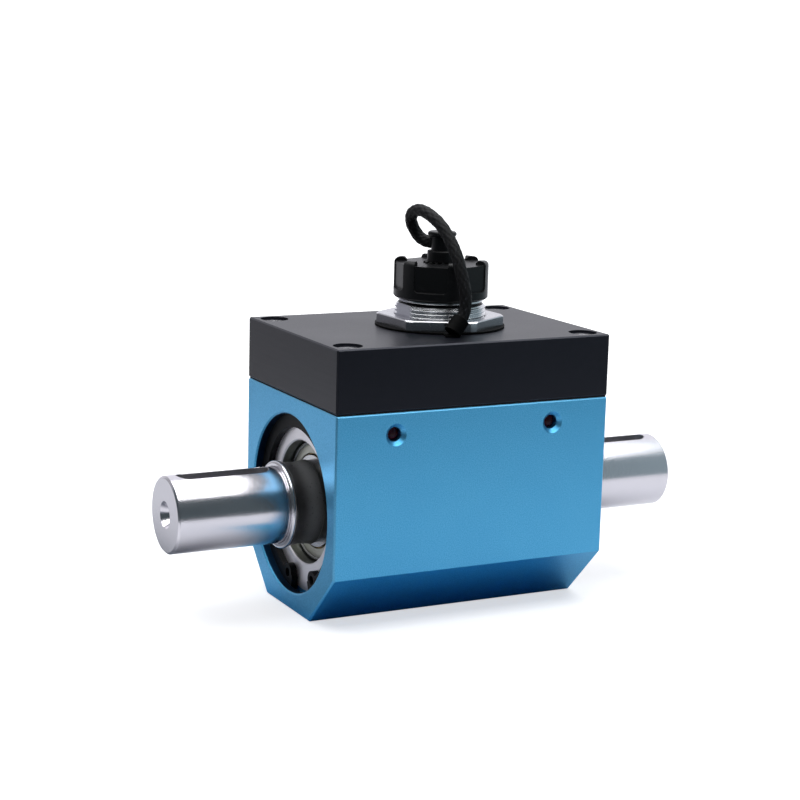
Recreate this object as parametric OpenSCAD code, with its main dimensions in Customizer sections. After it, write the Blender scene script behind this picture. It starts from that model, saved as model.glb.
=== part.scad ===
// Rotary torque sensor: a square blue housing with a black top cover, a keyed shaft
// that runs through both ends in shielded bearings, and a panel connector whose dust
// cap hangs on a short cord. Millimetres. X runs along the shaft, Z is up, and the
// origin is the middle of the base.

/* [Housing] */
// Length of the housing along the shaft
housing_length = 78.6; // [74:0.2:96]
// Wall between the bore and each side face
side_wall = 4.5; // [3.5:0.1:8]
// Wall between the bore and the base
floor_wall = 4.6; // [4:0.1:8]
// Wall between the bore and the split line
top_wall = 4.8; // [4.3:0.1:8]
// Size of the 45 degree chamfers along the base
base_chamfer = 14.5; // [8:0.1:16]
// Diameter of the bore through the housing
bore_d = 47; // [46:0.1:48]
// Size of the small broken edges
edge_break = 0.4; // [0.1:0.05:0.8]
// Length of the wire window between the bore and the cover
window_length = 30; // [16:1:36]
// Width of the wire window
window_width = 14; // [8:1:16]

/* [Base holes] */
// Distance between the tapped base holes along the shaft
base_hole_pitch_x = 60; // [40:1:64]
// Distance between the tapped base holes across the shaft
base_hole_pitch_y = 20; // [18:0.5:21]
// Core diameter of a tapped base hole
base_hole_d = 3.3; // [2.5:0.1:3.6]
// Depth of a tapped base hole
base_hole_depth = 5; // [3:0.25:5]

/* [Cover] */
// Height of the black cover
cover_height = 16.3; // [15:0.1:22]
// Thickness of the gasket at the split line
gasket_t = 0.3; // [0.2:0.05:0.8]
// How far the gasket stays back from the outside faces
gasket_setback = 0.35; // [0.1:0.05:1]
// Wall of the cover at its two ends
cover_end_wall = 10.5; // [9.5:0.25:12]
// Wall of the cover at its two sides
cover_side_wall = 5; // [3:0.25:5.5]
// Thickness of the cover's roof
cover_roof = 4; // [3:0.1:5]
// Distance of a cover screw from the two nearest faces
screw_inset = 5.2; // [5:0.1:5.6]
// Thread diameter of a cover screw
screw_d = 4; // [3:0.5:4]
// Head diameter of a cover screw
screw_head_d = 7; // [5.5:0.1:7.2]
// Head height of a cover screw
screw_head_h = 4; // [3:0.1:5]
// Depth of a screw head below the cover's top
screw_head_recess = 0.8; // [0.2:0.1:2]
// Key size of a screw's hexagon socket
screw_socket_af = 3; // [2:0.5:3.5]
// Depth of a screw's hexagon socket
screw_socket_depth = 2; // [1:0.1:2.5]
// Diameter of a counterbore in the cover
counterbore_d = 7.5; // [7.3:0.1:8.5]
// Length of screw that goes into the housing
screw_grip = 10; // [6:0.5:11]
// Spare depth below a screw in its tapped hole
screw_hole_spare = 2; // [1:0.5:3]

/* [Indicator lamps] */
// Distance of a lamp from the middle of the front face
lamp_x = 22.7; // [21:0.1:26]
// Distance of the lamps below the top of the housing
lamp_drop = 5.7; // [5:0.1:7]
// Diameter of a lamp hole
lamp_hole_d = 3.7; // [3:0.1:4]
// Diameter of a lamp hole's countersink at the face
lamp_countersink_d = 5.8; // [5:0.1:7]
// Depth of a lamp's tip below the front face
lamp_recess = 1.5; // [0.5:0.1:3]
// Length of a lamp's body behind its tip
lamp_length = 5.5; // [4:0.1:6]
// Distance of a lamp's upright leads behind the front face
lamp_lead_inset = 9.5; // [9:0.1:11]
// Diameter of a lamp lead
lamp_lead_d = 0.5; // [0.3:0.05:0.8]
// Distance between a lamp's two leads
lamp_lead_pitch = 1.8; // [1.4:0.1:2.2]

/* [Shaft] */
// Diameter of the shaft ends
shaft_d = 20; // [19:0.1:20.4]
// How far the ground bearing seats stand proud of the shaft ends
seat_step = 0.05; // [0.03:0.01:0.1]
// Width of the grinding undercut between a seat and its shaft end
undercut_w = 1; // [0.6:0.1:1.2]
// Depth of that undercut below the shaft end
undercut_depth = 0.25; // [0.2:0.05:0.5]
// Length of shaft that stands out of each end face
shaft_overhang = 34; // [33:0.5:60]
// Diameter of the shaft between the bearings
shoulder_d = 23.5; // [22:0.1:24]
// Diameter of the torsion section
torsion_d = 14; // [8:0.5:17]
// Length of the torsion section
torsion_length = 20; // [10:0.5:24]
// Length of each cone between the torsion section and the shoulders
torsion_cone = 2.5; // [1:0.1:4]
// Chamfer at the shaft ends
shaft_chamfer = 0.5; // [0.3:0.1:2]
// Width of a keyway
key_w = 6; // [4:0.5:8]
// Depth of a keyway
key_depth = 3.5; // [2:0.1:4]
// Length of a keyway, over its round ends
key_length = 25; // [14:0.5:26]
// Distance from a keyway to the shaft end
key_inset = 3; // [2:0.1:4]
// Mouth diameter of a centre hole
centre_mouth_d = 7.1; // [5:0.1:9]
// Pilot diameter of a centre hole
centre_pilot_d = 3.2; // [2:0.1:4]
// Depth of the pilot behind the cone of a centre hole
centre_pilot_depth = 5; // [2:0.5:8]

/* [Bearings] */
// Outside diameter of a bearing
bearing_od = 32; // [31.6:0.1:33]
// Width of a bearing
bearing_w = 7; // [6.6:0.1:8]
// Ball diameter
ball_d = 3.5; // [3:0.1:3.6]
// Number of balls
ball_count = 11; // [8:1:14]
// Depth of the raceways
race_depth = 0.85; // [0.7:0.05:1]
// Thickness of a shield
shield_t = 0.5; // [0.3:0.05:0.6]
// Depth of a shield below the bearing's face
shield_inset = 0.25; // [0.1:0.05:0.4]
// Width of the rebate that holds a shield in the outer ring
shield_rebate = 1; // [0.8:0.1:1.2]
// Width of a shield's set-back rim
shield_rim = 0.4; // [0.2:0.05:0.6]
// Gap between a shield and the inner ring
shield_gap = 0.5; // [0.3:0.05:0.7]
// Width of the outer ring's corner chamfers
bearing_edge = 0.5; // [0.2:0.05:0.6]

/* [Bearing seats] */
// Distance of the circlip from the end face
clip_inset = 2.3; // [1.5:0.1:3]
// Thickness of the circlip
clip_t = 1.75; // [1.5:0.05:2]
// Radial width of the circlip opposite its gap
clip_w = 4.9; // [3.5:0.1:5.5]
// How much narrower the circlip gets towards its gap
clip_taper = 0.9; // [0:0.1:1.2]
// Radial depth of the circlip groove
groove_depth = 1.25; // [1:0.05:1.5]
// Width of the circlip groove
groove_w = 1.85; // [1.8:0.05:2.2]
// Half of the opening angle of the circlip's gap
clip_gap = 13.5; // [8:0.5:20]
// Angle of the circlip's gap from straight down
clip_turn = -7; // [-60:1:60]
// Radial height of a circlip lug
clip_lug_h = 6.2; // [5.4:0.1:7]
// Half of the angle that a circlip lug covers
clip_lug_angle = 8; // [5:0.5:10]
// Diameter of a plier hole in a lug
clip_hole_d = 2.4; // [1.5:0.1:3]
// Depth of a bearing below the face of its carrier
bearing_recess = 3; // [1.5:0.1:4]
// Thickness of the carrier's lip behind a bearing
carrier_lip = 2; // [1:0.1:3]
// Radial height of the carrier's lip
carrier_lip_h = 2; // [1:0.1:2.2]

/* [Shaft sleeves] */
// Diameter of the black dust sleeve
sleeve_d = 22.5; // [21.6:0.1:23]
// Depth of the sleeve's waist
sleeve_waist = 0.6; // [0.1:0.05:0.7]
// Length of the sleeve that stands out of the end face
sleeve_out = 2.3; // [1:0.1:4]
// Diameter of the sleeve's nose at the bearing
sleeve_nose_d = 21.6; // [21:0.1:22]
// Length of the sleeve's nose
sleeve_nose = 1.4; // [0.8:0.1:2]
// Diameter of the bright collar ring
collar_d = 22.9; // [22:0.1:24]
// Width of the collar ring
collar_w = 1.5; // [1:0.1:2]

/* [Measuring parts] */
// Share of the room between the hub and the bore that the rotor cores take
rotor_core_share = 0.38; // [0.34:0.01:0.4]
// Share of that room that the stator cores take, the rest being the stator tube's wall
stator_core_share = 0.36; // [0.32:0.01:0.38]
// Distance of each coil pair from the middle
coil_x = 10; // [9:0.1:12]
// Width of a coil core
core_w = 8; // [6:0.1:9]
// Wall of a coil core on each side of its winding
core_wall = 1.5; // [1:0.1:2]
// Share of a stator core's thickness that its winding groove takes
winding_share = 0.58; // [0.4:0.01:0.65]
// Air gap between the rotor and stator cores
air_gap = 0.6; // [0.4:0.05:1]
// Wall of the rotor hub
hub_wall = 1.2; // [0.8:0.1:1.6]
// Length of the rotor hub
hub_length = 40; // [36:0.5:44]
// Room between the hub and the shaft at its free end
hub_free_gap = 0.3; // [0.1:0.05:0.5]
// Thickness of the rotor's ring board
rotor_board_t = 1.6; // [0.8:0.1:2]
// How far the rotor's ring board stays below the rotor cores
rotor_board_step = 0.3; // [0.1:0.1:1.5]
// Length of a strain gauge along the shaft
gauge_length = 6; // [3:0.5:10]
// Angle that a strain gauge covers on the shaft
gauge_angle = 40; // [20:1:60]
// Thickness of a strain gauge
gauge_t = 0.15; // [0.1:0.05:0.3]
// Diameter of a stator lead
lead_d = 0.8; // [0.5:0.1:1]
// Distance between stator leads
lead_pitch = 3; // [2:0.1:3.5]

/* [Circuit board] */
// Room between the board's edge and the cover
board_gap = 1.3; // [0.5:0.1:2]
// Thickness of the circuit board
board_t = 1.6; // [1:0.1:2]
// Height of the spacers under the board
spacer_h = 3; // [2:0.1:3.5]
// Width across the flats of a spacer
spacer_af = 5; // [4:0.1:5.5]
// Distance of the board screws from the board's ends
board_screw_end = 3.5; // [3:0.1:5]
// Distance of the board screws from the board's sides
board_screw_side = 9.7; // [9:0.1:11]
// Thread diameter of a board screw
board_screw_d = 2.5; // [2:0.1:3]
// Head diameter of a board screw
board_screw_head_d = 4.5; // [4:0.1:5]
// Head height of a board screw
board_screw_head_h = 1.8; // [1:0.1:2]
// Length of board screw that goes into the housing
board_screw_grip = 4; // [3:0.1:5]
// Edge of the square chip on the board
chip_size = 10; // [6:0.5:11]
// Height of the chip
chip_h = 1.4; // [0.8:0.1:2]
// Edge of the square choke on the board
choke_size = 7; // [4:0.5:8]
// Height of the choke
choke_h = 3.2; // [2:0.1:4]
// Length of a trimmer on the board
trimmer_l = 6.5; // [4:0.1:6.5]
// Width of a trimmer
trimmer_w = 4.5; // [3:0.1:5]
// Height of a trimmer
trimmer_h = 6; // [4:0.1:6.2]
// Diameter of a capacitor on the board
capacitor_d = 6.3; // [4:0.1:6.5]
// Height of a capacitor
capacitor_h = 5.5; // [4:0.1:6]

/* [Connector] */
// Distance of the connector from the middle of the cover
connector_x = 3.7; // [0:0.1:6]
// Thread diameter of the connector shell
thread_d = 24; // [23:0.1:24.5]
// Distance of the shell's flat from its axis
flat_offset = 11; // [10.4:0.1:11.4]
// Height of the thread's top above the cover
thread_top = 6.1; // [5.5:0.1:7]
// Width of the groove above the thread
thread_groove = 0.6; // [0.3:0.05:0.8]
// Diameter of the groove above the thread
thread_groove_d = 20.8; // [20.5:0.1:21.8]
// Diameter of the bright rim under the cap
rim_d = 22.4; // [22:0.1:23]
// Height of the bright rim
rim_h = 0.8; // [0.6:0.1:1.5]
// Diameter of the barrel that the cap screws on
barrel_d = 20; // [19:0.1:20.4]
// Height of the barrel above the rim
barrel_h = 6.9; // [6:0.1:7.5]
// Wall of the shell
shell_wall = 1.5; // [1:0.1:2]
// Diameter of the flange inside the cover
flange_d = 28; // [26:0.1:32]
// Thickness of the flange inside the cover
flange_t = 2.5; // [1.5:0.1:3]
// Height of the insulator above the cover
insert_top = 5; // [3:0.1:6]
// Length of the insulator below the flange
insert_tail = 2.5; // [1.8:0.1:2.8]
// Thickness of the insulator's collar under the flange
insert_collar_t = 1.5; // [0.8:0.1:1.6]
// Number of contact pins
pin_count = 5; // [3:1:7]
// Diameter of the pin circle
pin_circle_d = 8.6; // [7:0.1:10]
// Diameter of a contact pin
pin_d = 1.6; // [1:0.1:2]
// Height of the pin tips above the insulator
pin_height = 4.5; // [3:0.1:4.6]
// Width across the flats of the nut
nut_af = 30; // [28:0.1:32]
// Diameter that the nut's corners are turned down to
nut_corner_d = 33.6; // [33:0.1:34.5]
// Height of the nut
nut_h = 2.6; // [2:0.1:3]
// Width of the chamfer on the nut's top
nut_chamfer = 0.6; // [0.4:0.1:1.4]
// Turn of the nut's flats from the shaft axis
nut_turn = 3.5; // [0:0.5:60]
// Width of the broken edge along the top of each flat
nut_edge = 0.25; // [0.1:0.05:0.4]

/* [Dust cap] */
// Diameter of the dust cap
cap_d = 25; // [24.6:0.1:26]
// Gap between the rim and the cap's lower edge
cap_gap = 0.1; // [0.1:0.05:0.4]
// Height of the cap's top face above its lower edge
cap_height = 9; // [8.8:0.1:10]
// Height of the plain skirt below the grip panels
skirt_h = 2.2; // [1.5:0.1:3]
// Number of grip ribs
rib_count = 6; // [4:1:8]
// Turn of the first grip rib
rib_turn = 18.5; // [0:0.5:60]
// Width of a grip panel
panel_w = 8.9; // [5:0.1:9]
// Depth of a grip panel at its middle
panel_depth = 1.1; // [0.8:0.05:1.2]
// Corner radius at the foot of a grip panel
panel_r = 1.2; // [0.5:0.1:2]
// Height of the rib knuckles above the top face
knuckle_h = 1.1; // [0.6:0.05:1.2]
// Radial length of a rib knuckle
knuckle_l = 3.2; // [2.7:0.1:3.4]
// Radius of a knuckle's outer edge
knuckle_r = 1.3; // [1:0.05:1.4]
// Thickness of the sealing washer in the cap
cap_seal_t = 0.5; // [0.4:0.1:0.8]
// Radial width of the sealing washer
cap_seal_w = 4; // [2:0.1:4.5]
// Number of small pips round the stud
pip_count = 16; // [8:1:20]
// Diameter of a pip
pip_d = 0.7; // [0.5:0.05:1]
// Height of a pip
pip_h = 0.4; // [0.2:0.05:0.5]

/* [Tether] */
// Diameter of the tether cord
cord_d = 3.3; // [2.5:0.1:3.5]
// Diameter of the stud's collar
stud_collar_d = 7.6; // [6.6:0.1:8]
// Height of the stud's collar above the cap
stud_collar_h = 3.2; // [2:0.1:3.6]
// Diameter of the stud's neck that takes the cord
stud_neck_d = 5.6; // [5:0.1:6.2]
// Height of the stud's neck
stud_neck_h = 3.7; // [3.6:0.1:4.4]
// Diameter of the stud's head
stud_head_d = 7.6; // [6.8:0.1:8]
// Thickness of the stud's head
stud_head_h = 1.4; // [1:0.1:2]
// Diameter of the stud's shank in the cap
stud_shank_d = 4.8; // [3.5:0.1:5]
// Diameter of the flange that holds the stud in the cap
stud_flange_d = 7.4; // [6.5:0.1:8]
// Thickness of that flange
stud_flange_t = 0.5; // [0.3:0.05:0.6]
// Thickness of the cap's top round the stud
stud_seat_t = 0.9; // [0.7:0.05:1]
// Thickness of the lug ring under the nut
lug_t = 0.5; // [0.3:0.05:0.8]
// Outside diameter of the lug ring
lug_d = 34.4; // [33.8:0.1:36]
// Width of the tab between the lug ring and its barrel
lug_tab_w = 3.6; // [2.5:0.1:4.5]
// Wall of the lug's barrel
lug_barrel_wall = 0.6; // [0.4:0.05:0.9]
// Length of the lug's barrel below the cord's end
lug_barrel_tail = 2.4; // [1.8:0.1:2.6]
// Length of the lug's barrel over the cord
lug_barrel_grip = 1.8; // [1.2:0.1:1.8]

/* [Clearances] */
// Radial room of a pressed, screwed or seated fit
fit_gap = 0.05; // [0.03:0.01:0.08]
// Radial room between a ball and its raceway
ball_gap = 0.05; // [0.03:0.01:0.08]
// Room between parts that turn past each other
run_gap = 0.3; // [0.2:0.05:0.4]

/* [Hidden] */
$fn = 64;
// Small overlap that makes cuts break through
cut = 1;

// Outside sizes of the housing
axis_height = floor_wall + bore_d / 2;
housing_width = bore_d + 2 * side_wall;
housing_height = axis_height + bore_d / 2 + top_wall;

// Levels along Z
gasket_z = housing_height;
cover_z = gasket_z + gasket_t;
top_z = cover_z + cover_height;
roof_z = top_z - cover_roof;
board_z = housing_height + spacer_h;
board_top_z = board_z + board_t;
lamp_z = housing_height - lamp_drop;
rim_z = top_z + thread_top + thread_groove;
barrel_z = rim_z + rim_h;
shell_top_z = barrel_z + barrel_h;
nut_z = top_z + lug_t;
cap_z = barrel_z + cap_gap;
cap_top_z = cap_z + cap_height;
cap_seal_z = shell_top_z + cap_gap;
cap_ceiling_z = cap_seal_z + cap_seal_t;
stud_seat_z = cap_top_z - stud_seat_t;
stud_collar_z = cap_top_z + fit_gap;
stud_neck_z = stud_collar_z + stud_collar_h;
stud_head_z = stud_neck_z + stud_neck_h;

// Places along X, for the right-hand end
end_x = housing_length / 2;
clip_x1 = end_x - clip_inset;
clip_x0 = clip_x1 - clip_t;
carrier_x1 = clip_x0;
bearing_x1 = carrier_x1 - bearing_recess;
bearing_x0 = bearing_x1 - bearing_w;
bearing_x = (bearing_x0 + bearing_x1) / 2;
carrier_x0 = bearing_x0 - carrier_lip;
sleeve_x1 = end_x + sleeve_out;
collar_x1 = sleeve_x1 + collar_w;
shaft_x1 = end_x + shaft_overhang;

// Radii about the shaft axis
bore_r = bore_d / 2;
groove_r = bore_r + groove_depth;
shaft_r = shaft_d / 2;
seat_r = shaft_r + seat_step;
shoulder_r = shoulder_d / 2;
torsion_r = torsion_d / 2;
ball_pitch_r = (shaft_d + bearing_od) / 4;
inner_land_r = ball_pitch_r - ball_d / 2 + race_depth;
outer_land_r = ball_pitch_r + ball_d / 2 - race_depth;
shield_r = outer_land_r + shield_rebate;
cage_t = outer_land_r - inner_land_r - 2 * run_gap;
cage_w = bearing_w - 2 * (shield_inset + shield_t + run_gap);
hub_r = shoulder_r + hub_free_gap + hub_wall;
coil_room = bore_r - hub_r - 3 * fit_gap - air_gap;
rotor_core_r1 = hub_r + fit_gap + coil_room * rotor_core_share;
stator_core_r0 = rotor_core_r1 + air_gap;
stator_core_r1 = stator_core_r0 + coil_room * stator_core_share;
stator_r = bore_r - fit_gap;
winding_depth = (stator_core_r1 - stator_core_r0) * winding_share;
// Turn of the shaft's seam, which keeps it clear of the keyways
shaft_seam = 40;

// Radii about the connector axis
thread_r = thread_d / 2;
barrel_r = barrel_d / 2;
socket_r = barrel_r - shell_wall;
cap_r = cap_d / 2;
cap_bore_r = barrel_r + run_gap;
panel_r_in = cap_r - panel_depth;

// The circuit board in the room that the cover leaves
board_length = housing_length - 2 * (cover_end_wall + board_gap);
board_width = housing_width - 2 * (cover_side_wall + board_gap);
board_screw_x = board_length / 2 - board_screw_end;
board_screw_y = board_width / 2 - board_screw_side;

// The cord's route from the lug's barrel to the stud on the cap
// Points from the connector's axis at the cover's top, for a stud neck at drawn_neck_h
drawn_neck_h = 21.5;
drawn_route = [
    [-4.9, -18.6, 2.9], [-3.5, -18.3, 4.5], [-2.7, -18.2, 6.4], [-2.45, -18.2, 8.8],
    [-2.6, -17.9, 11.4], [-2.9, -17.2, 14.0], [-3.2, -16.3, 16.7], [-3.55, -14.8, 19.9],
    [-4.0, -12.8, 22.8], [-4.6, -10.6, 25.4], [-5.35, -8.2, 27.6], [-6.1, -5.6, 29.1],
    [-6.7, -2.7, 30.1], [-7.0, 0.6, 30.3], [-7.0, 3.8, 29.2], [-6.4, 5.7, 27.5],
    [-5.6, 6.4, 25.8], [-4.6, 6.4, 24.1], [-3.6, 5.7, 22.6], [-2.4, 4.2, 21.7],
    [-1.0, 1.75, 21.5]
];
neck_h = stud_neck_z + stud_neck_h / 2 - top_z;
cord_route = [for (p = drawn_route) [connector_x + p[0], p[1], top_z + p[2] * neck_h / drawn_neck_h]];
cord_sides = 8;
cord_last = len(cord_route) - 1;
cord_hole_r = cord_d / 2 + fit_gap;
lug_barrel_r = cord_hole_r + lug_barrel_wall;

// Helpers

// Right-hand parts as drawn, or mirrored to the left-hand end
module at_end(side) {
    if (side > 0) children();
    else mirror([1, 0, 0]) children();
}

// Turns a shape drawn along Z so that it lies along the shaft axis
module on_axis(x = 0) {
    translate([x, 0, axis_height]) rotate([0, 90, 0]) children();
}

// A ring about the shaft axis from x0 to x1
module ring_x(x0, x1, r_out, r_in) {
    on_axis(x0) difference() {
        cylinder(h = x1 - x0, r = r_out);
        translate([0, 0, -cut]) cylinder(h = x1 - x0 + 2 * cut, r = r_in);
    }
}

// Places children at the connector's axis, at height z
module at_connector(z = 0) {
    translate([connector_x, 0, z]) children();
}

// Places children at the four corners of a rectangle
module at_corners(x, y) {
    for (sx = [-1, 1], sy = [-1, 1]) translate([sx * x, sy * y, 0]) children();
}

// A rectangle with broken corners, as wide as w and as high as h, centred on X
module broken_rectangle(w, h, b) {
    polygon([
        [-w / 2, b], [-w / 2 + b, 0], [w / 2 - b, 0], [w / 2, b],
        [w / 2, h - b], [w / 2 - b, h], [-w / 2 + b, h], [-w / 2, h - b]
    ]);
}

// A block with all twelve edges broken, standing on z = 0
module broken_block(l, w, h, b) {
    intersection() {
        translate([-l / 2, 0, 0]) rotate([90, 0, 90]) linear_extrude(l) broken_rectangle(w, h, b);
        translate([0, w / 2, 0]) rotate([90, 0, 0]) linear_extrude(w) broken_rectangle(l, h, b);
        translate([0, -w / 2, 0]) linear_extrude(h) broken_rectangle(l, w, b);
    }
}

function unit(v) = v / norm(v);

// Turns Z to the direction d
module along(d) {
    rotate([0, acos(d[2] / norm(d)), atan2(d[1], d[0])]) children();
}

// Housing and cover

// The blue block: base chamfers, bore, circlip grooves, wire window and tapped holes
module housing() color("steelblue") difference() {
    intersection() {
        broken_block(housing_length, housing_width, housing_height, edge_break);
        base_chamfers();
    }
    on_axis(-end_x - cut) cylinder(h = housing_length + 2 * cut, r = bore_r);
    for (side = [-1, 1]) at_end(side) {
        on_axis(clip_x1 - groove_w) cylinder(h = groove_w, r = groove_r);
        on_axis(end_x - edge_break) cylinder(h = 2 * edge_break, r1 = bore_r, r2 = bore_r + 2 * edge_break);
    }
    translate([-window_length / 2, -window_width / 2, axis_height])
        cube([window_length, window_width, housing_height - axis_height + cut]);
    translate([0, 0, housing_height - screw_grip - screw_hole_spare])
        at_corners(end_x - screw_inset, housing_width / 2 - screw_inset)
            cylinder(h = screw_grip + screw_hole_spare + cut, d = screw_d + 2 * fit_gap);
    translate([0, 0, housing_height - board_screw_grip - cut])
        at_corners(board_screw_x, board_screw_y)
            cylinder(h = board_screw_grip + 2 * cut, d = board_screw_d + 2 * fit_gap);
    translate([0, 0, -cut]) at_corners(base_hole_pitch_x / 2, base_hole_pitch_y / 2)
        cylinder(h = base_hole_depth + cut, d = base_hole_d);
    for (side = [-1, 1]) translate([side * lamp_x, -housing_width / 2, lamp_z]) lamp_hole();
}

// The block's end outline with its two base chamfers, edges broken at the ends
module base_chamfers() {
    half_w = housing_width / 2;
    slope = sqrt(2);
    reach = (half_w + housing_height) * slope;
    for_chamfer = (half_w - base_chamfer) / slope;
    intersection_for (side = [-1, 1])
        rotate([side * 45, 0, 0]) translate([0, 0, -for_chamfer])
            translate([0, reach, 0]) rotate([90, 0, 0]) linear_extrude(2 * reach)
                broken_rectangle(housing_length, 2 * reach, edge_break);
}

// A countersunk lamp hole into the front face, with an upright duct for its leads
module lamp_hole() {
    countersink = (lamp_countersink_d - lamp_hole_d) / 2;
    rotate([-90, 0, 0]) {
        translate([0, 0, -cut]) cylinder(h = lamp_lead_inset + cut, d = lamp_hole_d);
        translate([0, 0, -countersink])
            cylinder(h = 2 * countersink, d1 = lamp_countersink_d + 2 * countersink, d2 = lamp_hole_d);
    }
    translate([0, lamp_lead_inset, 0]) {
        sphere(d = lamp_hole_d);
        cylinder(h = lamp_drop + cut, d = lamp_hole_d);
    }
}

// The thin dark gasket between the housing and the cover
module cover_gasket() color("dimgray") translate([0, 0, gasket_z]) difference() {
    outline(gasket_setback, gasket_t);
    translate([0, 0, -cut]) cover_cavity(gasket_t + 2 * cut);
    translate([0, 0, -cut]) at_corners(end_x - screw_inset, housing_width / 2 - screw_inset)
        cylinder(h = gasket_t + 2 * cut, d = screw_d + 2 * run_gap);
}

// The housing's plan, drawn in by inset
module outline(inset, h) {
    translate([-end_x + inset, -housing_width / 2 + inset, 0])
        cube([housing_length - 2 * inset, housing_width - 2 * inset, h]);
}

// The room inside the cover
module cover_cavity(h) {
    translate([-end_x + cover_end_wall, -housing_width / 2 + cover_side_wall, 0])
        cube([housing_length - 2 * cover_end_wall, housing_width - 2 * cover_side_wall, h]);
}

// The black cover: broken edges, room for the board, counterbores and connector hole
module top_cover() color("#1c1e22") difference() {
    translate([0, 0, cover_z]) broken_block(housing_length, housing_width, cover_height, edge_break);
    translate([0, 0, cover_z - cut]) cover_cavity(cover_height - cover_roof + cut);
    translate([0, 0, cover_z - cut]) at_corners(end_x - screw_inset, housing_width / 2 - screw_inset) {
        cylinder(h = cover_height + 2 * cut, d = screw_d + 2 * run_gap);
        translate([0, 0, cut + cover_height - screw_head_h - screw_head_recess])
            cylinder(h = screw_head_h + screw_head_recess + cut, d = counterbore_d);
    }
    at_connector(roof_z - cut) flatted_cylinder(cover_roof + 2 * cut, fit_gap);
}

// A cylinder of the thread's size with its one flat, grown by room
module flatted_cylinder(h, room) {
    intersection() {
        cylinder(h = h, r = thread_r + room);
        translate([-flat_offset - room, -thread_d, 0]) cube([2 * thread_d, 2 * thread_d, h]);
    }
}

// Four socket-head screws that hold the cover down
module cover_screws() color("silver") at_corners(end_x - screw_inset, housing_width / 2 - screw_inset) {
    head_z = top_z - screw_head_recess - screw_head_h;
    foot_z = housing_height - screw_grip;
    difference() {
        union() {
            translate([0, 0, foot_z]) cylinder(h = head_z - foot_z + fit_gap, d = screw_d);
            translate([0, 0, head_z]) rotate_extrude() polygon([
                [0, 0], [screw_head_d / 2, 0], [screw_head_d / 2, screw_head_h - edge_break],
                [screw_head_d / 2 - edge_break, screw_head_h], [0, screw_head_h]
            ]);
        }
        translate([0, 0, head_z + screw_head_h - screw_socket_depth])
            cylinder(h = screw_socket_depth + cut, d = screw_socket_af / cos(30), $fn = 6);
    }
}

// Two small red lamps in the front face, each with two leads up to the board
module indicator_lamps() color("darkred") for (side = [-1, 1])
    translate([side * lamp_x, -housing_width / 2, lamp_z]) {
        lamp_r = lamp_hole_d / 2 - fit_gap;
        body_y = lamp_recess + lamp_r;
        union() {
            translate([0, body_y, 0]) sphere(r = lamp_r);
            translate([0, body_y, 0]) rotate([-90, 0, 0]) cylinder(h = lamp_length - lamp_r, r = lamp_r);
            for (lead = [-1, 1]) translate([lead * lamp_lead_pitch / 2, 0, 0]) {
                translate([0, body_y, 0]) rotate([-90, 0, 0])
                    cylinder(h = lamp_lead_inset - body_y, d = lamp_lead_d);
                translate([0, lamp_lead_inset, 0]) sphere(d = lamp_lead_d);
                translate([0, lamp_lead_inset, 0]) cylinder(h = board_z - lamp_z, d = lamp_lead_d);
            }
        }
    }

// Bearing seats

// The grey carrier that holds a bearing in the housing's bore
module bearing_carrier(side) color("gainsboro") at_end(side) difference() {
    ring_x(carrier_x0, carrier_x1, bore_r - fit_gap, bearing_od / 2 - carrier_lip_h);
    on_axis(bearing_x0) cylinder(h = carrier_x1 - bearing_x0 + cut, d = bearing_od + 2 * fit_gap);
    on_axis(carrier_x1 - edge_break)
        cylinder(h = 2 * edge_break, r1 = bearing_od / 2 + fit_gap, r2 = bearing_od / 2 + fit_gap + 2 * edge_break);
}

// The internal circlip: an eccentric ring with two drilled lugs beside its gap
module circlip(side) color("#303236") at_end(side) on_axis(clip_x0) rotate([0, 0, clip_turn])
    linear_extrude(clip_t) difference() {
        clip_r = groove_r - 2 * fit_gap;
        lug_turn = clip_gap + clip_lug_angle;
        lug_mid_r = clip_r - clip_lug_h / 2;
        union() {
            difference() {
                circle(r = clip_r);
                translate([clip_taper / 2, 0]) circle(r = clip_r - clip_w + clip_taper / 2);
            }
            for (end = [-1, 1]) rotate(end * lug_turn) intersection() {
                circle(r = clip_r);
                union() {
                    translate([lug_mid_r - clip_lug_h / 2 + clip_hole_d, -clip_r * sin(clip_lug_angle)])
                        square([clip_lug_h, 2 * clip_r * sin(clip_lug_angle)]);
                    translate([lug_mid_r - clip_lug_h / 2 + clip_hole_d, 0]) circle(r = clip_hole_d);
                }
            }
        }
        polygon([[0, 0], 2 * clip_r * [cos(clip_gap), -sin(clip_gap)], 2 * clip_r * [cos(clip_gap), sin(clip_gap)]]);
        for (end = [-1, 1]) rotate(end * lug_turn)
            translate([lug_mid_r - clip_lug_h / 2 + clip_hole_d, 0]) circle(d = clip_hole_d);
    }

// Bearings

// Groove that the balls run in, as a ring to cut away
module raceway() {
    on_axis(bearing_x) rotate_extrude() translate([ball_pitch_r, 0]) circle(r = ball_d / 2 + ball_gap);
}

// Outer ring with its raceway and a rebate on each side for the shields
module bearing_outer_ring(side) color("silver") at_end(side) difference() {
    rebate = shield_inset + shield_t;
    r_out = bearing_od / 2;
    on_axis() rotate_extrude() polygon([
        [outer_land_r, bearing_x0], [r_out - bearing_edge, bearing_x0], [r_out, bearing_x0 + bearing_edge],
        [r_out, bearing_x1 - bearing_edge], [r_out - bearing_edge, bearing_x1], [outer_land_r, bearing_x1]
    ]);
    raceway();
    on_axis(bearing_x0 - cut) cylinder(h = rebate + cut, r = shield_r + fit_gap);
    on_axis(bearing_x1 - rebate) cylinder(h = rebate + cut, r = shield_r + fit_gap);
}

// Inner ring with its raceway
module bearing_inner_ring(side) color("silver") at_end(side) difference() {
    ring_x(bearing_x0, bearing_x1, inner_land_r, seat_r + fit_gap);
    raceway();
}

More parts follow.
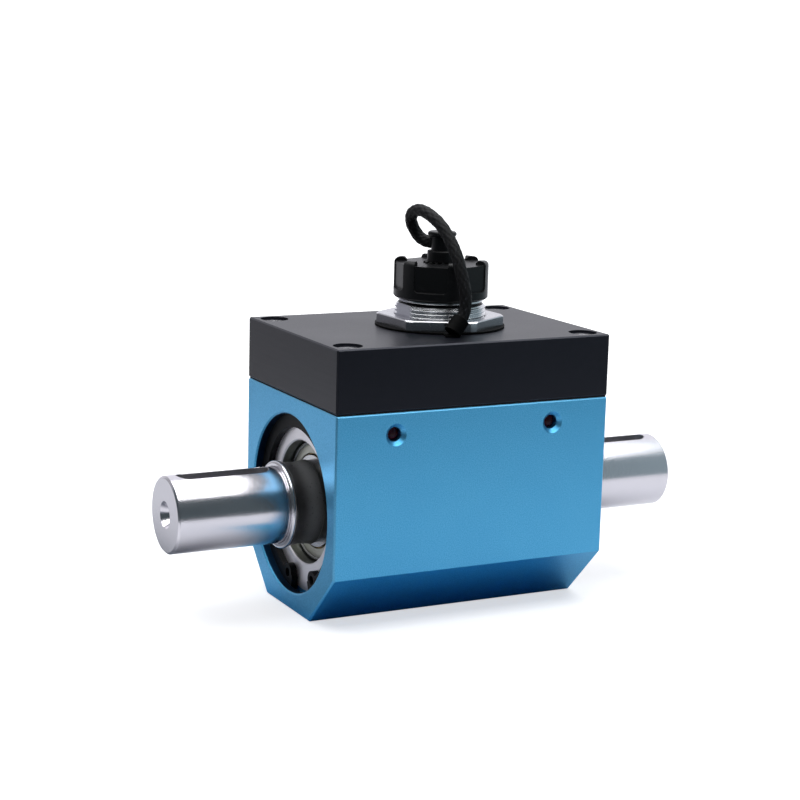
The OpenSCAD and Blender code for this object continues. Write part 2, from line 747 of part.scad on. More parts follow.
// The two pressed shields that close a bearing, each with its rim set back
module bearing_shields(side) color("darkkhaki") at_end(side) {
    r_in = inner_land_r + shield_gap;
    r_step = shield_r - shield_rim;
    step = shield_t / 2;
    outer_x = bearing_x1 - shield_inset - shield_t;
    inner_x = bearing_x0 + shield_inset;
    on_axis(outer_x) rotate_extrude() polygon([
        [r_in, 0], [shield_r, 0], [shield_r, step], [r_step, step], [r_step, shield_t], [r_in, shield_t]
    ]);
    on_axis(inner_x) rotate_extrude() polygon([
        [r_in, 0], [r_step, 0], [r_step, step], [shield_r, step], [shield_r, shield_t], [r_in, shield_t]
    ]);
}

// Ball cage: a band with one round pocket for each ball
module ball_cage(side) color("goldenrod") at_end(side) difference() {
    ring_x(bearing_x - cage_w / 2, bearing_x + cage_w / 2, ball_pitch_r + cage_t / 2, ball_pitch_r - cage_t / 2);
    at_balls() rotate([0, 90, 0]) cylinder(h = 2 * cage_t, d = ball_d + run_gap, center = true);
}

// The balls of one bearing
module bearing_balls(side) color("whitesmoke") at_end(side) at_balls() sphere(d = ball_d);

// Places children at the middle of each ball
module at_balls() {
    on_axis(bearing_x) for (i = [0 : ball_count - 1]) rotate([0, 0, 360 * i / ball_count])
        translate([ball_pitch_r, 0, 0]) children();
}

// Shaft

// The turned shaft: ends, shoulders, torsion section, two keyways and centre holes
module shaft() color("silver") difference() {
    torsion_x = torsion_length / 2;
    cone_x = torsion_x + torsion_cone;
    half = [
        [torsion_x, torsion_r], [cone_x, shoulder_r], [bearing_x0, shoulder_r], [bearing_x0, seat_r],
        [collar_x1 - undercut_w, seat_r], [collar_x1 - undercut_w, shaft_r - undercut_depth],
        [collar_x1, shaft_r - undercut_depth], [collar_x1, shaft_r],
        [shaft_x1 - shaft_chamfer, shaft_r], [shaft_x1, shaft_r - shaft_chamfer]
    ];
    on_axis() rotate([0, 0, shaft_seam]) rotate_extrude() polygon(concat(
        [for (i = [0 : len(half) - 1]) [half[i][1], half[i][0]]],
        [[0, shaft_x1], [0, -shaft_x1]],
        [for (i = [len(half) - 1 : -1 : 0]) [half[i][1], -half[i][0]]]
    ));
    for (side = [-1, 1]) at_end(side) {
        keyway();
        centre_hole();
    }
}

// A keyway with round ends in the top of the shaft
module keyway() {
    floor_z = axis_height + shaft_r - key_depth;
    x1 = shaft_x1 - key_inset - key_w / 2;
    x0 = x1 - (key_length - key_w);
    translate([0, 0, floor_z]) {
        translate([x0, 0, 0]) cylinder(h = key_depth + cut, d = key_w);
        translate([x1, 0, 0]) cylinder(h = key_depth + cut, d = key_w);
        translate([x0, -key_w / 2, 0]) cube([x1 - x0, key_w, key_depth + cut]);
    }
}

// A 60 degree centre hole with its pilot
module centre_hole() {
    cone_h = (centre_mouth_d - centre_pilot_d) / 2 / tan(30);
    on_axis(shaft_x1 - cone_h) cylinder(h = cone_h, d1 = centre_pilot_d, d2 = centre_mouth_d);
    on_axis(shaft_x1 - cone_h - centre_pilot_depth) cylinder(h = centre_pilot_depth + cut, d = centre_pilot_d);
}

// The black waisted sleeve between a bearing's inner ring and the collar ring
module dust_sleeve(side) color("#202124") at_end(side) on_axis() {
    r_in = seat_r + fit_gap;
    r_out = sleeve_d / 2;
    body_x0 = bearing_x1 + sleeve_nose;
    body_l = sleeve_x1 - body_x0;
    waist_r = (body_l * body_l / 4 + sleeve_waist * sleeve_waist) / (2 * sleeve_waist);
    rotate_extrude() difference() {
        union() {
            translate([r_in, bearing_x1]) square([sleeve_nose_d / 2 - r_in, sleeve_nose + edge_break]);
            translate([0, body_x0]) polygon([
                [r_in, 0], [r_out - 2 * edge_break, 0], [r_out, 2 * edge_break], [r_out, body_l], [r_in, body_l]
            ]);
        }
        translate([r_out - sleeve_waist + waist_r, body_x0 + body_l / 2]) circle(r = waist_r, $fn = 360);
    }
}

// The bright collar ring with its rounded rim
module collar_ring(side) color("white") at_end(side) on_axis() rotate_extrude() {
    r_in = seat_r + fit_gap;
    rim_r = collar_w / 2;
    translate([r_in, sleeve_x1]) square([collar_d / 2 - rim_r - r_in, collar_w]);
    intersection() {
        translate([collar_d / 2 - rim_r, sleeve_x1 + rim_r]) circle(r = rim_r);
        translate([r_in, sleeve_x1]) square([collar_d, collar_w]);
    }
}

// Measuring parts

// The tube between the two bearing carriers that holds the stator cores
module stator_tube() color("slategray") difference() {
    ring_x(-carrier_x0, carrier_x0, stator_r, stator_core_r1 + fit_gap);
    translate([-window_length / 2, -window_width / 2, axis_height])
        cube([window_length, window_width, stator_r + cut]);
}

// Two grooved rings round the shaft axis, one at each coil place
module core_pair(r_out, r_in, groove_out, groove_in) {
    groove_w2 = core_w - 2 * core_wall;
    for (side = [-1, 1]) translate([side * coil_x, 0, 0]) difference() {
        ring_x(-core_w / 2, core_w / 2, r_out, r_in);
        ring_x(-groove_w2 / 2, groove_w2 / 2, groove_out, groove_in);
    }
}

// Two plain rings that fill the cores' grooves
module coil_pair(r_out, r_in) {
    half_w = core_w / 2 - core_wall - fit_gap;
    for (side = [-1, 1]) translate([side * coil_x, 0, 0]) ring_x(-half_w, half_w, r_out, r_in);
}

// Ferrite rings of the stator, grooved inside
module stator_cores() color("#4a4a4d")
    core_pair(stator_core_r1, stator_core_r0, stator_core_r0 + winding_depth, stator_core_r0 - cut);

// Windings of the stator
module stator_coils() color("peru")
    coil_pair(stator_core_r0 + winding_depth - fit_gap, stator_core_r0 + 2 * fit_gap);

// Four leads from the stator's cores up to the circuit board
module stator_leads() color("orange") for (side = [-1, 1], lead = [-1, 1])
    translate([side * coil_x, lead * lead_pitch / 2, 0]) {
        foot_z = axis_height + stator_core_r1;
        translate([0, 0, foot_z]) cylinder(h = board_z - foot_z, d = lead_d);
    }

// Hub that carries the rotor: seated on the left shoulder, free over the right one
module rotor_hub() color("lightsteelblue") difference() {
    ring_x(-hub_length / 2, hub_length / 2, hub_r, shoulder_r + fit_gap);
    on_axis(-torsion_length / 2) cylinder(h = hub_length, r = shoulder_r + hub_free_gap);
}

// Ferrite rings of the rotor, grooved outside
module rotor_cores() color("#4a4a4d")
    core_pair(rotor_core_r1, hub_r + fit_gap, rotor_core_r1 + cut, rotor_core_r1 - winding_depth);

// Windings of the rotor
module rotor_coils() color("peru")
    coil_pair(rotor_core_r1 - 2 * fit_gap, rotor_core_r1 - winding_depth + fit_gap);

// Ring board of the rotor, between its two cores
module rotor_board() color("seagreen")
    ring_x(-rotor_board_t / 2, rotor_board_t / 2, rotor_core_r1 - rotor_board_step, hub_r + fit_gap);

// Four foil strain gauges round the torsion section
module strain_gauges() color("sandybrown") on_axis(-gauge_length / 2) for (i = [0 : 3]) rotate([0, 0, 90 * i])
    rotate_extrude(angle = gauge_angle) translate([torsion_r + fit_gap / 2, 0]) square([gauge_t, gauge_length]);

// Circuit board

// The board, drilled for its screws and for the connector's pins
module circuit_board() color("darkgreen") translate([0, 0, board_z]) difference() {
    translate([-board_length / 2, -board_width / 2, 0]) cube([board_length, board_width, board_t]);
    translate([0, 0, -cut]) {
        at_corners(board_screw_x, board_screw_y) cylinder(h = board_t + 2 * cut, d = board_screw_d + 2 * fit_gap);
        at_connector() at_pins() cylinder(h = board_t + 2 * cut, d = pin_d + 2 * fit_gap);
    }
}

// Four hexagonal spacers under the board
module board_spacers() color("khaki") translate([0, 0, housing_height]) at_corners(board_screw_x, board_screw_y)
    difference() {
        cylinder(h = spacer_h, d = spacer_af / cos(30), $fn = 6);
        translate([0, 0, -cut]) cylinder(h = spacer_h + 2 * cut, d = board_screw_d + 2 * fit_gap);
    }

// Four pan-head screws that hold the board
module board_screws() color("silver") at_corners(board_screw_x, board_screw_y) {
    foot_z = housing_height - board_screw_grip;
    translate([0, 0, foot_z]) cylinder(h = board_top_z - foot_z + fit_gap, d = board_screw_d);
    translate([0, 0, board_top_z]) cylinder(h = board_screw_head_h, d = board_screw_head_d);
}

// The larger parts soldered on the board: chip, choke, capacitors and trimmers
module board_parts() color("#25272b") translate([0, 0, board_top_z]) {
    edge_y = board_width / 2 - capacitor_d / 2 - board_gap;
    translate([connector_x - chip_size / 2 - flange_d / 2, -chip_size / 2, 0]) cube([chip_size, chip_size, chip_h]);
    translate([-choke_size / 2, -edge_y - choke_size / 2, 0]) cube([choke_size, choke_size, choke_h]);
    for (side = [-1, 1]) {
        translate([side * (choke_size + capacitor_d), -edge_y, 0]) cylinder(h = capacitor_h, d = capacitor_d);
        translate([side * trimmer_l - trimmer_l / 2, edge_y - trimmer_w / 2, 0]) cube([trimmer_l, trimmer_w, trimmer_h]);
    }
}

// Connector

// Turned shell: flange inside the cover, flatted thread, groove, rim and cap barrel
module connector_shell() color("gainsboro") at_connector() difference() {
    union() {
        translate([0, 0, roof_z - flange_t]) cylinder(h = flange_t, d = flange_d);
        translate([0, 0, roof_z - cut / 2]) flatted_cylinder(top_z + thread_top - roof_z + cut / 2, 0);
        translate([0, 0, top_z + thread_top - cut]) cylinder(h = thread_groove + rim_h / 2 + cut, d = thread_groove_d);
        translate([0, 0, rim_z]) rotate_extrude() polygon([
            [0, 0], [rim_d / 2, 0], [rim_d / 2, rim_h - edge_break], [rim_d / 2 - edge_break, rim_h],
            [barrel_r, rim_h], [barrel_r, rim_h + barrel_h - edge_break], [barrel_r - edge_break, rim_h + barrel_h],
            [0, rim_h + barrel_h]
        ]);
    }
    translate([0, 0, roof_z - flange_t - cut])
        cylinder(h = shell_top_z - roof_z + flange_t + 2 * cut, r = socket_r);
}

// Black insulator that fills the shell and carries the pins
module connector_insert() color("#26282c") at_connector() difference() {
    foot_z = roof_z - flange_t - insert_tail;
    union() {
        translate([0, 0, foot_z]) cylinder(h = top_z + insert_top - foot_z, r = socket_r - fit_gap);
        translate([0, 0, roof_z - flange_t - insert_collar_t])
            cylinder(h = insert_collar_t, r = socket_r + shell_wall);
    }
    translate([0, 0, foot_z - cut])
        at_pins() cylinder(h = top_z + insert_top - foot_z + 2 * cut, d = pin_d + 2 * fit_gap);
}

// Contact pins, from the board's underside up to their round tips in the socket
module connector_pins() color("gold") at_connector() at_pins() {
    tip_z = top_z + insert_top + pin_height - pin_d / 2;
    union() {
        translate([0, 0, board_z]) cylinder(h = tip_z - board_z, d = pin_d);
        translate([0, 0, tip_z]) sphere(d = pin_d);
    }
}

// Places children on the pin circle
module at_pins() {
    for (i = [0 : pin_count - 1]) rotate([0, 0, 360 * (i + 0.5) / pin_count])
        translate([pin_circle_d / 2, 0, 0]) children();
}

// The thin hexagon nut that clamps the connector to the cover
module connector_nut() color("lightgray") at_connector(nut_z) rotate([0, 0, nut_turn + 30]) difference() {
    corner_r = nut_corner_d / 2;
    chamfer_h = nut_chamfer * tan(30);
    intersection() {
        cylinder(h = nut_h, d = nut_af / cos(30), $fn = 6);
        rotate_extrude() polygon([
            [0, 0], [corner_r, 0], [corner_r, nut_h - chamfer_h], [corner_r - nut_chamfer, nut_h], [0, nut_h]
        ]);
    }
    translate([0, 0, -cut]) cylinder(h = nut_h + 2 * cut, r = thread_r + fit_gap);
    translate([0, 0, nut_h - edge_break])
        cylinder(h = 2 * edge_break, r1 = thread_r + fit_gap, r2 = thread_r + fit_gap + 2 * edge_break);
    for (i = [0 : 5]) rotate([0, 0, 60 * i + 30]) translate([nut_af / 2, 0, nut_h])
        rotate([0, 45, 0]) cube([nut_edge * sqrt(2), nut_af, nut_edge * sqrt(2)], center = true);
}

// Tether and dust cap

// Black lug: a flat ring under the nut, a tab, and a slanted barrel that grips the cord
module tether_lug() color("#18191b") {
    start = cord_route[0];
    lean = cord_route[1] - start;
    foot = start - lug_barrel_tail * unit(lean);
    barrel_l = lug_barrel_tail + lug_barrel_grip;
    tab = [foot[0] - connector_x, foot[1], 0];
    difference() {
        union() {
            at_connector(top_z) cylinder(h = lug_t, d = lug_d);
            at_connector(top_z) rotate([0, 0, atan2(tab[1], tab[0])])
                translate([thread_r, -lug_tab_w / 2, 0]) cube([norm(tab) - thread_r + lug_barrel_r / 2, lug_tab_w, lug_t]);
            intersection() {
                translate(foot) along(lean) cylinder(h = barrel_l, r = lug_barrel_r);
                translate([foot[0], foot[1], top_z + cord_d]) cube([4 * cord_d, 4 * cord_d, 2 * cord_d], center = true);
            }
        }
        at_connector(top_z - cut) cylinder(h = lug_t + 2 * cut, r = thread_r + run_gap);
        translate(start) along(lean) cylinder(h = barrel_l + cut, r = cord_hole_r);
    }
}

// Middle points, directions and rings of the cord
function cord_way(i) = unit(cord_route[min(i + 1, cord_last)] - cord_route[max(i - 1, 0)]);
function cord_side(t) = unit([1, 0, 0] - t[0] * t);
function cord_point(i, k) = let(t = cord_way(i), a = cord_side(t), b = cross(t, a), w = 360 * k / cord_sides)
    cord_route[i] + cord_d / 2 * (cos(w) * a + sin(w) * b);

// The plain cord, one ring of points at each point of its route
module tether_cord() color("#141516") {
    ring_count = cord_last + 1;
    points = [for (i = [0 : cord_last], k = [0 : cord_sides - 1]) cord_point(i, k)];
    sides = [for (i = [0 : cord_last - 1], k = [0 : cord_sides - 1]) let(n = (k + 1) % cord_sides, j = i * cord_sides)
        [j + k, j + k + cord_sides, j + n + cord_sides, j + n]];
    first = [for (k = [0 : cord_sides - 1]) k];
    last = [for (k = [cord_sides - 1 : -1 : 0]) (ring_count - 1) * cord_sides + k];
    polyhedron(points = points, faces = concat(sides, [first, last]), convexity = 4);
}

// Black screw cap: plain skirt, flat grip panels between ribs, knuckles on top
module dust_cap() color("#1b1c1f") at_connector(cap_z) {
    knuckle_top = cap_height + knuckle_h;
    corner_z = knuckle_top - knuckle_r;
    step = 360 / rib_count;
    difference() {
        union() {
            rotate_extrude() polygon([
                [0, 0], [cap_r - edge_break, 0], [cap_r, edge_break], [cap_r, corner_z],
                [panel_r_in, corner_z], [panel_r_in, cap_height], [0, cap_height]
            ]);
            knuckle_ring(corner_z, knuckle_top);
            for (i = [0 : pip_count - 1]) rotate([0, 0, 360 * i / pip_count])
                translate([stud_collar_d / 2 + pip_d / 2 + run_gap, 0, cap_height - cut]) cylinder(h = pip_h + cut, d = pip_d);
        }
        for (i = [0 : rib_count - 1]) rotate([0, 0, rib_turn + (i + 0.5) * step]) {
            translate([panel_r_in, 0, skirt_h]) rotate([90, 0, 90])
                linear_extrude(panel_depth + cut) panel_outline(cap_height);
            translate([cap_r / 2, -panel_w / 2, cap_height]) cube([cap_r, panel_w, knuckle_h + cut]);
        }
        translate([0, 0, -cut]) cylinder(h = cap_ceiling_z - cap_z + cut, r = cap_bore_r);
        cylinder(h = stud_seat_z - cap_z, d = stud_flange_d + 2 * run_gap);
        cylinder(h = cap_height + cut, d = stud_shank_d + 2 * fit_gap);
    }
}

// Rounded ring on top of the cap that the grip panels cut into knuckles
module knuckle_ring(corner_z, top) {
    outer_r = cap_r - knuckle_r;
    inner_r = cap_r - knuckle_l;
    slope = 0.7 * knuckle_h;
    rotate_extrude() {
        polygon([
            [inner_r, corner_z - cut], [outer_r, corner_z - cut], [outer_r, top],
            [inner_r + slope, top], [inner_r, top - slope]
        ]);
        translate([outer_r - cut, corner_z - cut]) square([knuckle_r + cut, cut]);
        translate([outer_r, corner_z]) circle(r = knuckle_r);
    }
}

// A grip panel's outline, round at its lower corners
module panel_outline(h) {
    translate([-panel_w / 2, panel_r]) square([panel_w, h]);
    translate([-panel_w / 2 + panel_r, 0]) square([panel_w - 2 * panel_r, panel_r]);
    for (side = [-1, 1]) translate([side * (panel_w / 2 - panel_r), panel_r]) circle(r = panel_r);
}

// Rubber washer that seals the cap on the shell's edge
module cap_seal() color("#33353a") at_connector(cap_seal_z) difference() {
    cylinder(h = cap_seal_t, r = barrel_r);
    translate([0, 0, -cut]) cylinder(h = cap_seal_t + 2 * cut, r = barrel_r - cap_seal_w);
}

// Swivelling stud in the cap's top: flange, shank, collar, drilled neck and round head
module tether_stud() color("#17181a") difference() {
    end = cord_route[cord_last];
    lean = cord_route[cord_last - 1] - end;
    shank_z = stud_seat_z - fit_gap;
    flange_z = shank_z - stud_flange_t;
    head_r = stud_head_d / 2;
    head_edge = stud_head_h / 2;
    at_connector() rotate_extrude() {
        polygon([
            [0, flange_z], [stud_flange_d / 2, flange_z], [stud_flange_d / 2, shank_z],
            [stud_shank_d / 2, shank_z], [stud_shank_d / 2, stud_collar_z],
            [stud_collar_d / 2 - edge_break / 2, stud_collar_z], [stud_collar_d / 2, stud_collar_z + edge_break / 2],
            [stud_collar_d / 2, stud_neck_z - edge_break / 2], [stud_collar_d / 2 - edge_break / 2, stud_neck_z],
            [stud_neck_d / 2, stud_neck_z], [stud_neck_d / 2, stud_head_z],
            [head_r - head_edge, stud_head_z], [head_r - head_edge, stud_head_z + stud_head_h],
            [0, stud_head_z + stud_head_h]
        ]);
        translate([head_r - head_edge, stud_head_z + head_edge]) circle(r = head_edge);
    }
    translate(end) along(lean) cylinder(h = 2 * stud_neck_d, r = cord_hole_r);
}

housing();
cover_gasket();
top_cover();
cover_screws();
indicator_lamps();
bearing_carrier(-1);  // bearing_carrier_left
bearing_carrier(1);  // bearing_carrier_right
circlip(-1);  // circlip_left
circlip(1);  // circlip_right
bearing_outer_ring(-1);  // bearing_outer_ring_left
bearing_outer_ring(1);  // bearing_outer_ring_right
bearing_shields(-1);  // bearing_shields_left
bearing_shields(1);  // bearing_shields_right
bearing_inner_ring(-1);  // bearing_inner_ring_left
bearing_inner_ring(1);  // bearing_inner_ring_right
ball_cage(-1);  // ball_cage_left
ball_cage(1);  // ball_cage_right
bearing_balls(-1);  // bearing_balls_left
bearing_balls(1);  // bearing_balls_right
shaft();
dust_sleeve(-1);  // dust_sleeve_left
dust_sleeve(1);  // dust_sleeve_right
collar_ring(-1);  // collar_ring_left
collar_ring(1);  // collar_ring_right
stator_tube();
stator_cores();
stator_coils();
stator_leads();
rotor_hub();
rotor_cores();
rotor_coils();
rotor_board();
strain_gauges();
circuit_board();
board_spacers();
board_screws();
board_parts();
connector_shell();
connector_insert();
connector_pins();
connector_nut();
tether_lug();
tether_cord();
dust_cap();
cap_seal();
tether_stud();
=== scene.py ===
# %% [markdown]
# # A rotary torque sensor in the studio
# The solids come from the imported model, so their sizes and joints are already right. This
# lesson gives them their looks: it sets the camera, makes the pieces that solids alone can't
# show (a braided cord and a cut thread), and builds one finish for each kind of surface.
# The scene is in metres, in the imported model's own frame: X along the shaft and Z up. Sizes
# that were read off in millimetres are multiplied by MM.

import math

import bpy
import numpy as np
from mathutils import Matrix


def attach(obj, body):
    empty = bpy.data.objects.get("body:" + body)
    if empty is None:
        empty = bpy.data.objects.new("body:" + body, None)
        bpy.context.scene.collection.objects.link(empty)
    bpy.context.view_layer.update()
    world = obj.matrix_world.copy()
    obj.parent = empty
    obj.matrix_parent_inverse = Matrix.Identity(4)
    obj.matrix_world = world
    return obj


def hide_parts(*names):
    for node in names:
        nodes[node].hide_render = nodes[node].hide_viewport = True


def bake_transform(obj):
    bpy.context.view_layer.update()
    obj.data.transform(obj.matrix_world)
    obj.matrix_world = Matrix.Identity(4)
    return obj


MM = 0.001
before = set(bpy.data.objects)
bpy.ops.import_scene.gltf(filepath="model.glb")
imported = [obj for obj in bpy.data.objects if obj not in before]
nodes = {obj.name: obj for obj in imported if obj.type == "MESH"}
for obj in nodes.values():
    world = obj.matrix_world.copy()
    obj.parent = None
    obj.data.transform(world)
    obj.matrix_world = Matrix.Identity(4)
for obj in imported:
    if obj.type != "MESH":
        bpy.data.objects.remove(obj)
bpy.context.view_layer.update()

# %% [markdown]
# ## Camera
# The photograph's camera was found by fitting the housing's corners. It stands a little to
# the left of the front and looks slightly down. A camera looks along its own -Z, so its
# matrix has the view's right, up and backward directions as columns. A small roll is added,
# because the photograph isn't quite level.

# %% Camera
CAMERA_PLACE = np.array([-234.985, -440.983, 150.732]) * MM
CAMERA_AZIMUTH = math.radians(-27.286)
CAMERA_ELEVATION = math.radians(11.101)
CAMERA_ROLL = math.radians(1.513)
CAMERA_LENS = 85.9
SENSOR_WIDTH = 36


def camera_axes(azimuth, elevation, roll):
    """Right, up and backward unit vectors of the view.

    Backward is given by the two angles, right is Z x backward, and roll turns right and up
    about backward.
    """
    backward = np.array([
        math.sin(azimuth) * math.cos(elevation),
        -math.cos(azimuth) * math.cos(elevation),
        math.sin(elevation),
    ])
    right = np.cross([0, 0, 1], backward)
    right /= np.linalg.norm(right)
    up = np.cross(backward, right)
    rolled_right = right * math.cos(roll) + up * math.sin(roll)
    rolled_up = up * math.cos(roll) - right * math.sin(roll)
    return rolled_right, rolled_up, backward


camera = bpy.data.objects.new("camera", bpy.data.cameras.new("camera"))
camera.data.sensor_width = SENSOR_WIDTH
camera.data.lens = CAMERA_LENS
camera_matrix = np.eye(4)
camera_matrix[:3, :3] = np.column_stack(camera_axes(CAMERA_AZIMUTH, CAMERA_ELEVATION, CAMERA_ROLL))
camera_matrix[:3, 3] = CAMERA_PLACE
camera.matrix_world = Matrix(camera_matrix.tolist())
bpy.context.scene.collection.objects.link(camera)
bpy.context.scene.camera = camera
print("camera at", CAMERA_PLACE.round(3).tolist())

# %% [markdown]
# ## Surfaces from grids
# Every new piece is a grid of points: rows run along the piece and columns run round it.
# The points are worked out as whole numpy arrays, and one function joins neighbours into
# quads. Columns run anticlockwise when seen from the last row, so that faces look out.

# %% Grid to mesh
def grid_faces(rows, columns, wrap_rows):
    """Quads (i, j), (i, j+1), (i+1, j+1), (i+1, j), with the columns always closed.

    The point in row i and column j has vertex number i * columns + j.
    """
    number = np.arange(rows * columns).reshape(rows, columns)
    lower = number if wrap_rows else number[:-1]
    upper = np.roll(number, -1, axis=0) if wrap_rows else number[1:]
    corners = [lower, np.roll(lower, -1, axis=1), np.roll(upper, -1, axis=1), upper]
    return np.stack(corners, axis=-1).reshape(-1, 4)


def surface_piece(name, grid, wrap_rows=False, capped=False, sharp_angle=35):
    """Makes an object of a (rows, columns, 3) grid of points.

    Capped closes the first and the last row with one face each.
    """
    rows, columns = grid.shape[:2]
    faces = grid_faces(rows, columns, wrap_rows).tolist()
    if capped:
        faces.append(list(range(columns))[::-1])
        faces.append(list(range((rows - 1) * columns, rows * columns)))
    mesh = bpy.data.meshes.new(name)
    mesh.from_pydata(grid.reshape(-1, 3).tolist(), [], faces)
    mesh.polygons.foreach_set("use_smooth", np.ones(len(mesh.polygons), dtype=bool))
    mesh.set_sharp_from_angle(angle=math.radians(sharp_angle))
    piece = bpy.data.objects.new(name, mesh)
    bpy.context.scene.collection.objects.link(piece)
    return piece


print("grid helpers ready")

# %% [markdown]
# ## Tether cord
# The dust cap hangs on a short braided cord, seen from end to end in the photograph. It
# leaves a crimped barrel in front of the nut, rises, loops over the cap and comes down into
# a drilled stud. A curve object with a round bevel would give a plain hose. Here the tube is
# a grid instead, and its radius rises and falls with two crossing sets of strands.

# %% Cord route
CONNECTOR_X = 3.7
COVER_TOP = 73.0
NECK_HEIGHT = 21.7
DRAWN_NECK_HEIGHT = 21.5
CORD_DIAMETER = 3.3 * MM
CUTS_PER_SPAN = 24
CORD_ROWS = 460
DRAWN_ROUTE = np.array([
    [-4.9, -18.6, 2.9], [-3.5, -18.3, 4.5], [-2.7, -18.2, 6.4], [-2.45, -18.2, 8.8],
    [-2.6, -17.9, 11.4], [-2.9, -17.2, 14.0], [-3.2, -16.3, 16.7], [-3.55, -14.8, 19.9],
    [-4.0, -12.8, 22.8], [-4.6, -10.6, 25.4], [-5.35, -8.2, 27.6], [-6.1, -5.6, 29.1],
    [-6.7, -2.7, 30.1], [-7.0, 0.6, 30.3], [-7.0, 3.8, 29.2], [-6.4, 5.7, 27.5],
    [-5.6, 6.4, 25.8], [-4.6, 6.4, 24.1], [-3.6, 5.7, 22.6], [-2.4, 4.2, 21.7],
    [-1.0, 1.75, 21.5],
])
ROUTE_STRETCH = np.array([1, 1, NECK_HEIGHT / DRAWN_NECK_HEIGHT])
cord_route = (DRAWN_ROUTE * ROUTE_STRETCH + [CONNECTOR_X, 0, COVER_TOP]) * MM


def smooth_path(points, steps):
    """Curve through the points, cut into equal lengths, and its length.

    Each span is a cubic whose end slopes are (next point - previous point) / 2.
    """
    ends = np.concatenate([[2 * points[0] - points[1]], points, [2 * points[-1] - points[-2]]])
    slope = (ends[2:] - ends[:-2]) / 2
    t = np.linspace(0, 1, CUTS_PER_SPAN, endpoint=False)[None, :, None]
    start, stop = points[:-1, None], points[1:, None]
    leave, arrive = slope[:-1, None], slope[1:, None]
    spans = (
        (2 * t**3 - 3 * t**2 + 1) * start
        + (t**3 - 2 * t**2 + t) * leave
        + (3 * t**2 - 2 * t**3) * stop
        + (t**3 - t**2) * arrive
    )
    dense = np.concatenate([spans.reshape(-1, 3), points[-1:]])
    travel = np.concatenate([[0], np.cumsum(np.linalg.norm(np.diff(dense, axis=0), axis=1))])
    even = np.linspace(0, travel[-1], steps)
    return np.column_stack([np.interp(even, travel, dense[:, axis]) for axis in range(3)]), travel[-1]


cord_path, cord_length = smooth_path(cord_route, CORD_ROWS)
print("cord", round(cord_length / MM, 1), "mm long")

# %% Braided cord
STRANDS = 8
STRAND_PITCH = 24.0 * MM
STRAND_DEPTH = 0.24 * MM
WEAVE_SHARE = 0.3
CORD_SIDES = 64


def path_frames(path):
    """Two unit vectors across the path, at each of its points.

    The first is X with its part along the tangent removed, and the second is tangent x first.
    """
    tangent = np.gradient(path, axis=0)
    tangent /= np.linalg.norm(tangent, axis=1, keepdims=True)
    side = np.array([1.0, 0, 0]) - tangent[:, :1] * tangent
    side /= np.linalg.norm(side, axis=1, keepdims=True)
    return side, np.cross(tangent, side)


def braid_height(angle, along):
    """Height from 0 to 1 of two crossing families of round strands.

    Each family dips where the other one is on top.
    """
    right = STRANDS * angle / (2 * math.pi) + along * STRANDS / STRAND_PITCH
    left = STRANDS * angle / (2 * math.pi) - along * STRANDS / STRAND_PITCH
    weave = np.cos(math.pi * right) * np.cos(math.pi * left)
    right_strand = np.sqrt(np.abs(np.cos(math.pi * right))) * (1 - WEAVE_SHARE + WEAVE_SHARE * weave)
    left_strand = np.sqrt(np.abs(np.cos(math.pi * left))) * (1 - WEAVE_SHARE - WEAVE_SHARE * weave)
    return np.maximum(right_strand, left_strand)


def braided_tube(path, length, diameter):
    """Rows along the path and columns round it, and the strand height at each point.

    A point is path + radius * (cos a * side + sin a * across), with less radius where strands dip.
    """
    side, across = path_frames(path)
    angle = np.linspace(0, 2 * math.pi, CORD_SIDES, endpoint=False)[None, :]
    along = np.linspace(0, length, len(path))[:, None]
    height = braid_height(angle, along)
    radius = (diameter / 2 - STRAND_DEPTH * (1 - height))[..., None]
    ring = np.cos(angle)[..., None] * side[:, None] + np.sin(angle)[..., None] * across[:, None]
    return path[:, None] + radius * ring, height


cord_grid, cord_height = braided_tube(cord_path, cord_length, CORD_DIAMETER)
tether = surface_piece("braided_tether", cord_grid, capped=True, sharp_angle=80)
strand_height = tether.data.attributes.new("strand_height", "FLOAT", "POINT")
strand_height.data.foreach_set("value", cord_height.astype(np.float32).ravel())
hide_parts("tether_cord")
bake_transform(tether)
print("tether", len(tether.data.polygons), "faces")

# %% [markdown]
# ## Threaded connector shell
# The shell is turned from brass and nickel plated. One side of its thread is milled flat, so
# that it can't turn in the cover. A screw modifier could sweep a thread, but the flat would
# need a boolean cut. As a grid it is simple: the outline gives a radius at every height, the
# thread takes a little off it that moves round with the angle, and the flat is the smaller
# of that radius and the distance to a plane. The part inside the nut and the cover is hidden,
# so the thread is cut only above it.

# %% Shell outline and thread
THREAD_RADIUS = 12.0
THREAD_PITCH = 1.0
THREAD_DEPTH = 0.45
THREAD_FOOT = 69.0
THREAD_START = 75.6
THREAD_TOP = 79.1
GROOVE_TOP = 79.7
THREAD_STEP = THREAD_PITCH / 40
CREST_SHARE = 0.08
TOP_CHAMFER = 0.7
FLAT_OFFSET = 11.0
SMALL_COSINE = 0.001
SHELL_FOOT = [[8.5, 66.5], [13.7, 66.5], [14.0, 66.8], [14.0, 69.0], [12.0, 69.0]]
SHELL_HEAD = [
    [10.9, 79.1], [10.4, 79.1], [10.4, 79.7], [11.05, 79.7], [11.2, 79.85], [11.2, 80.25],
    [11.05, 80.4], [10.8, 80.5], [10.0, 80.5], [10.0, 87.0], [9.6, 87.4], [8.7, 87.4], [8.5, 87.2],
]
ROUND_SIDES = 200
FLAT_SIDES = 48


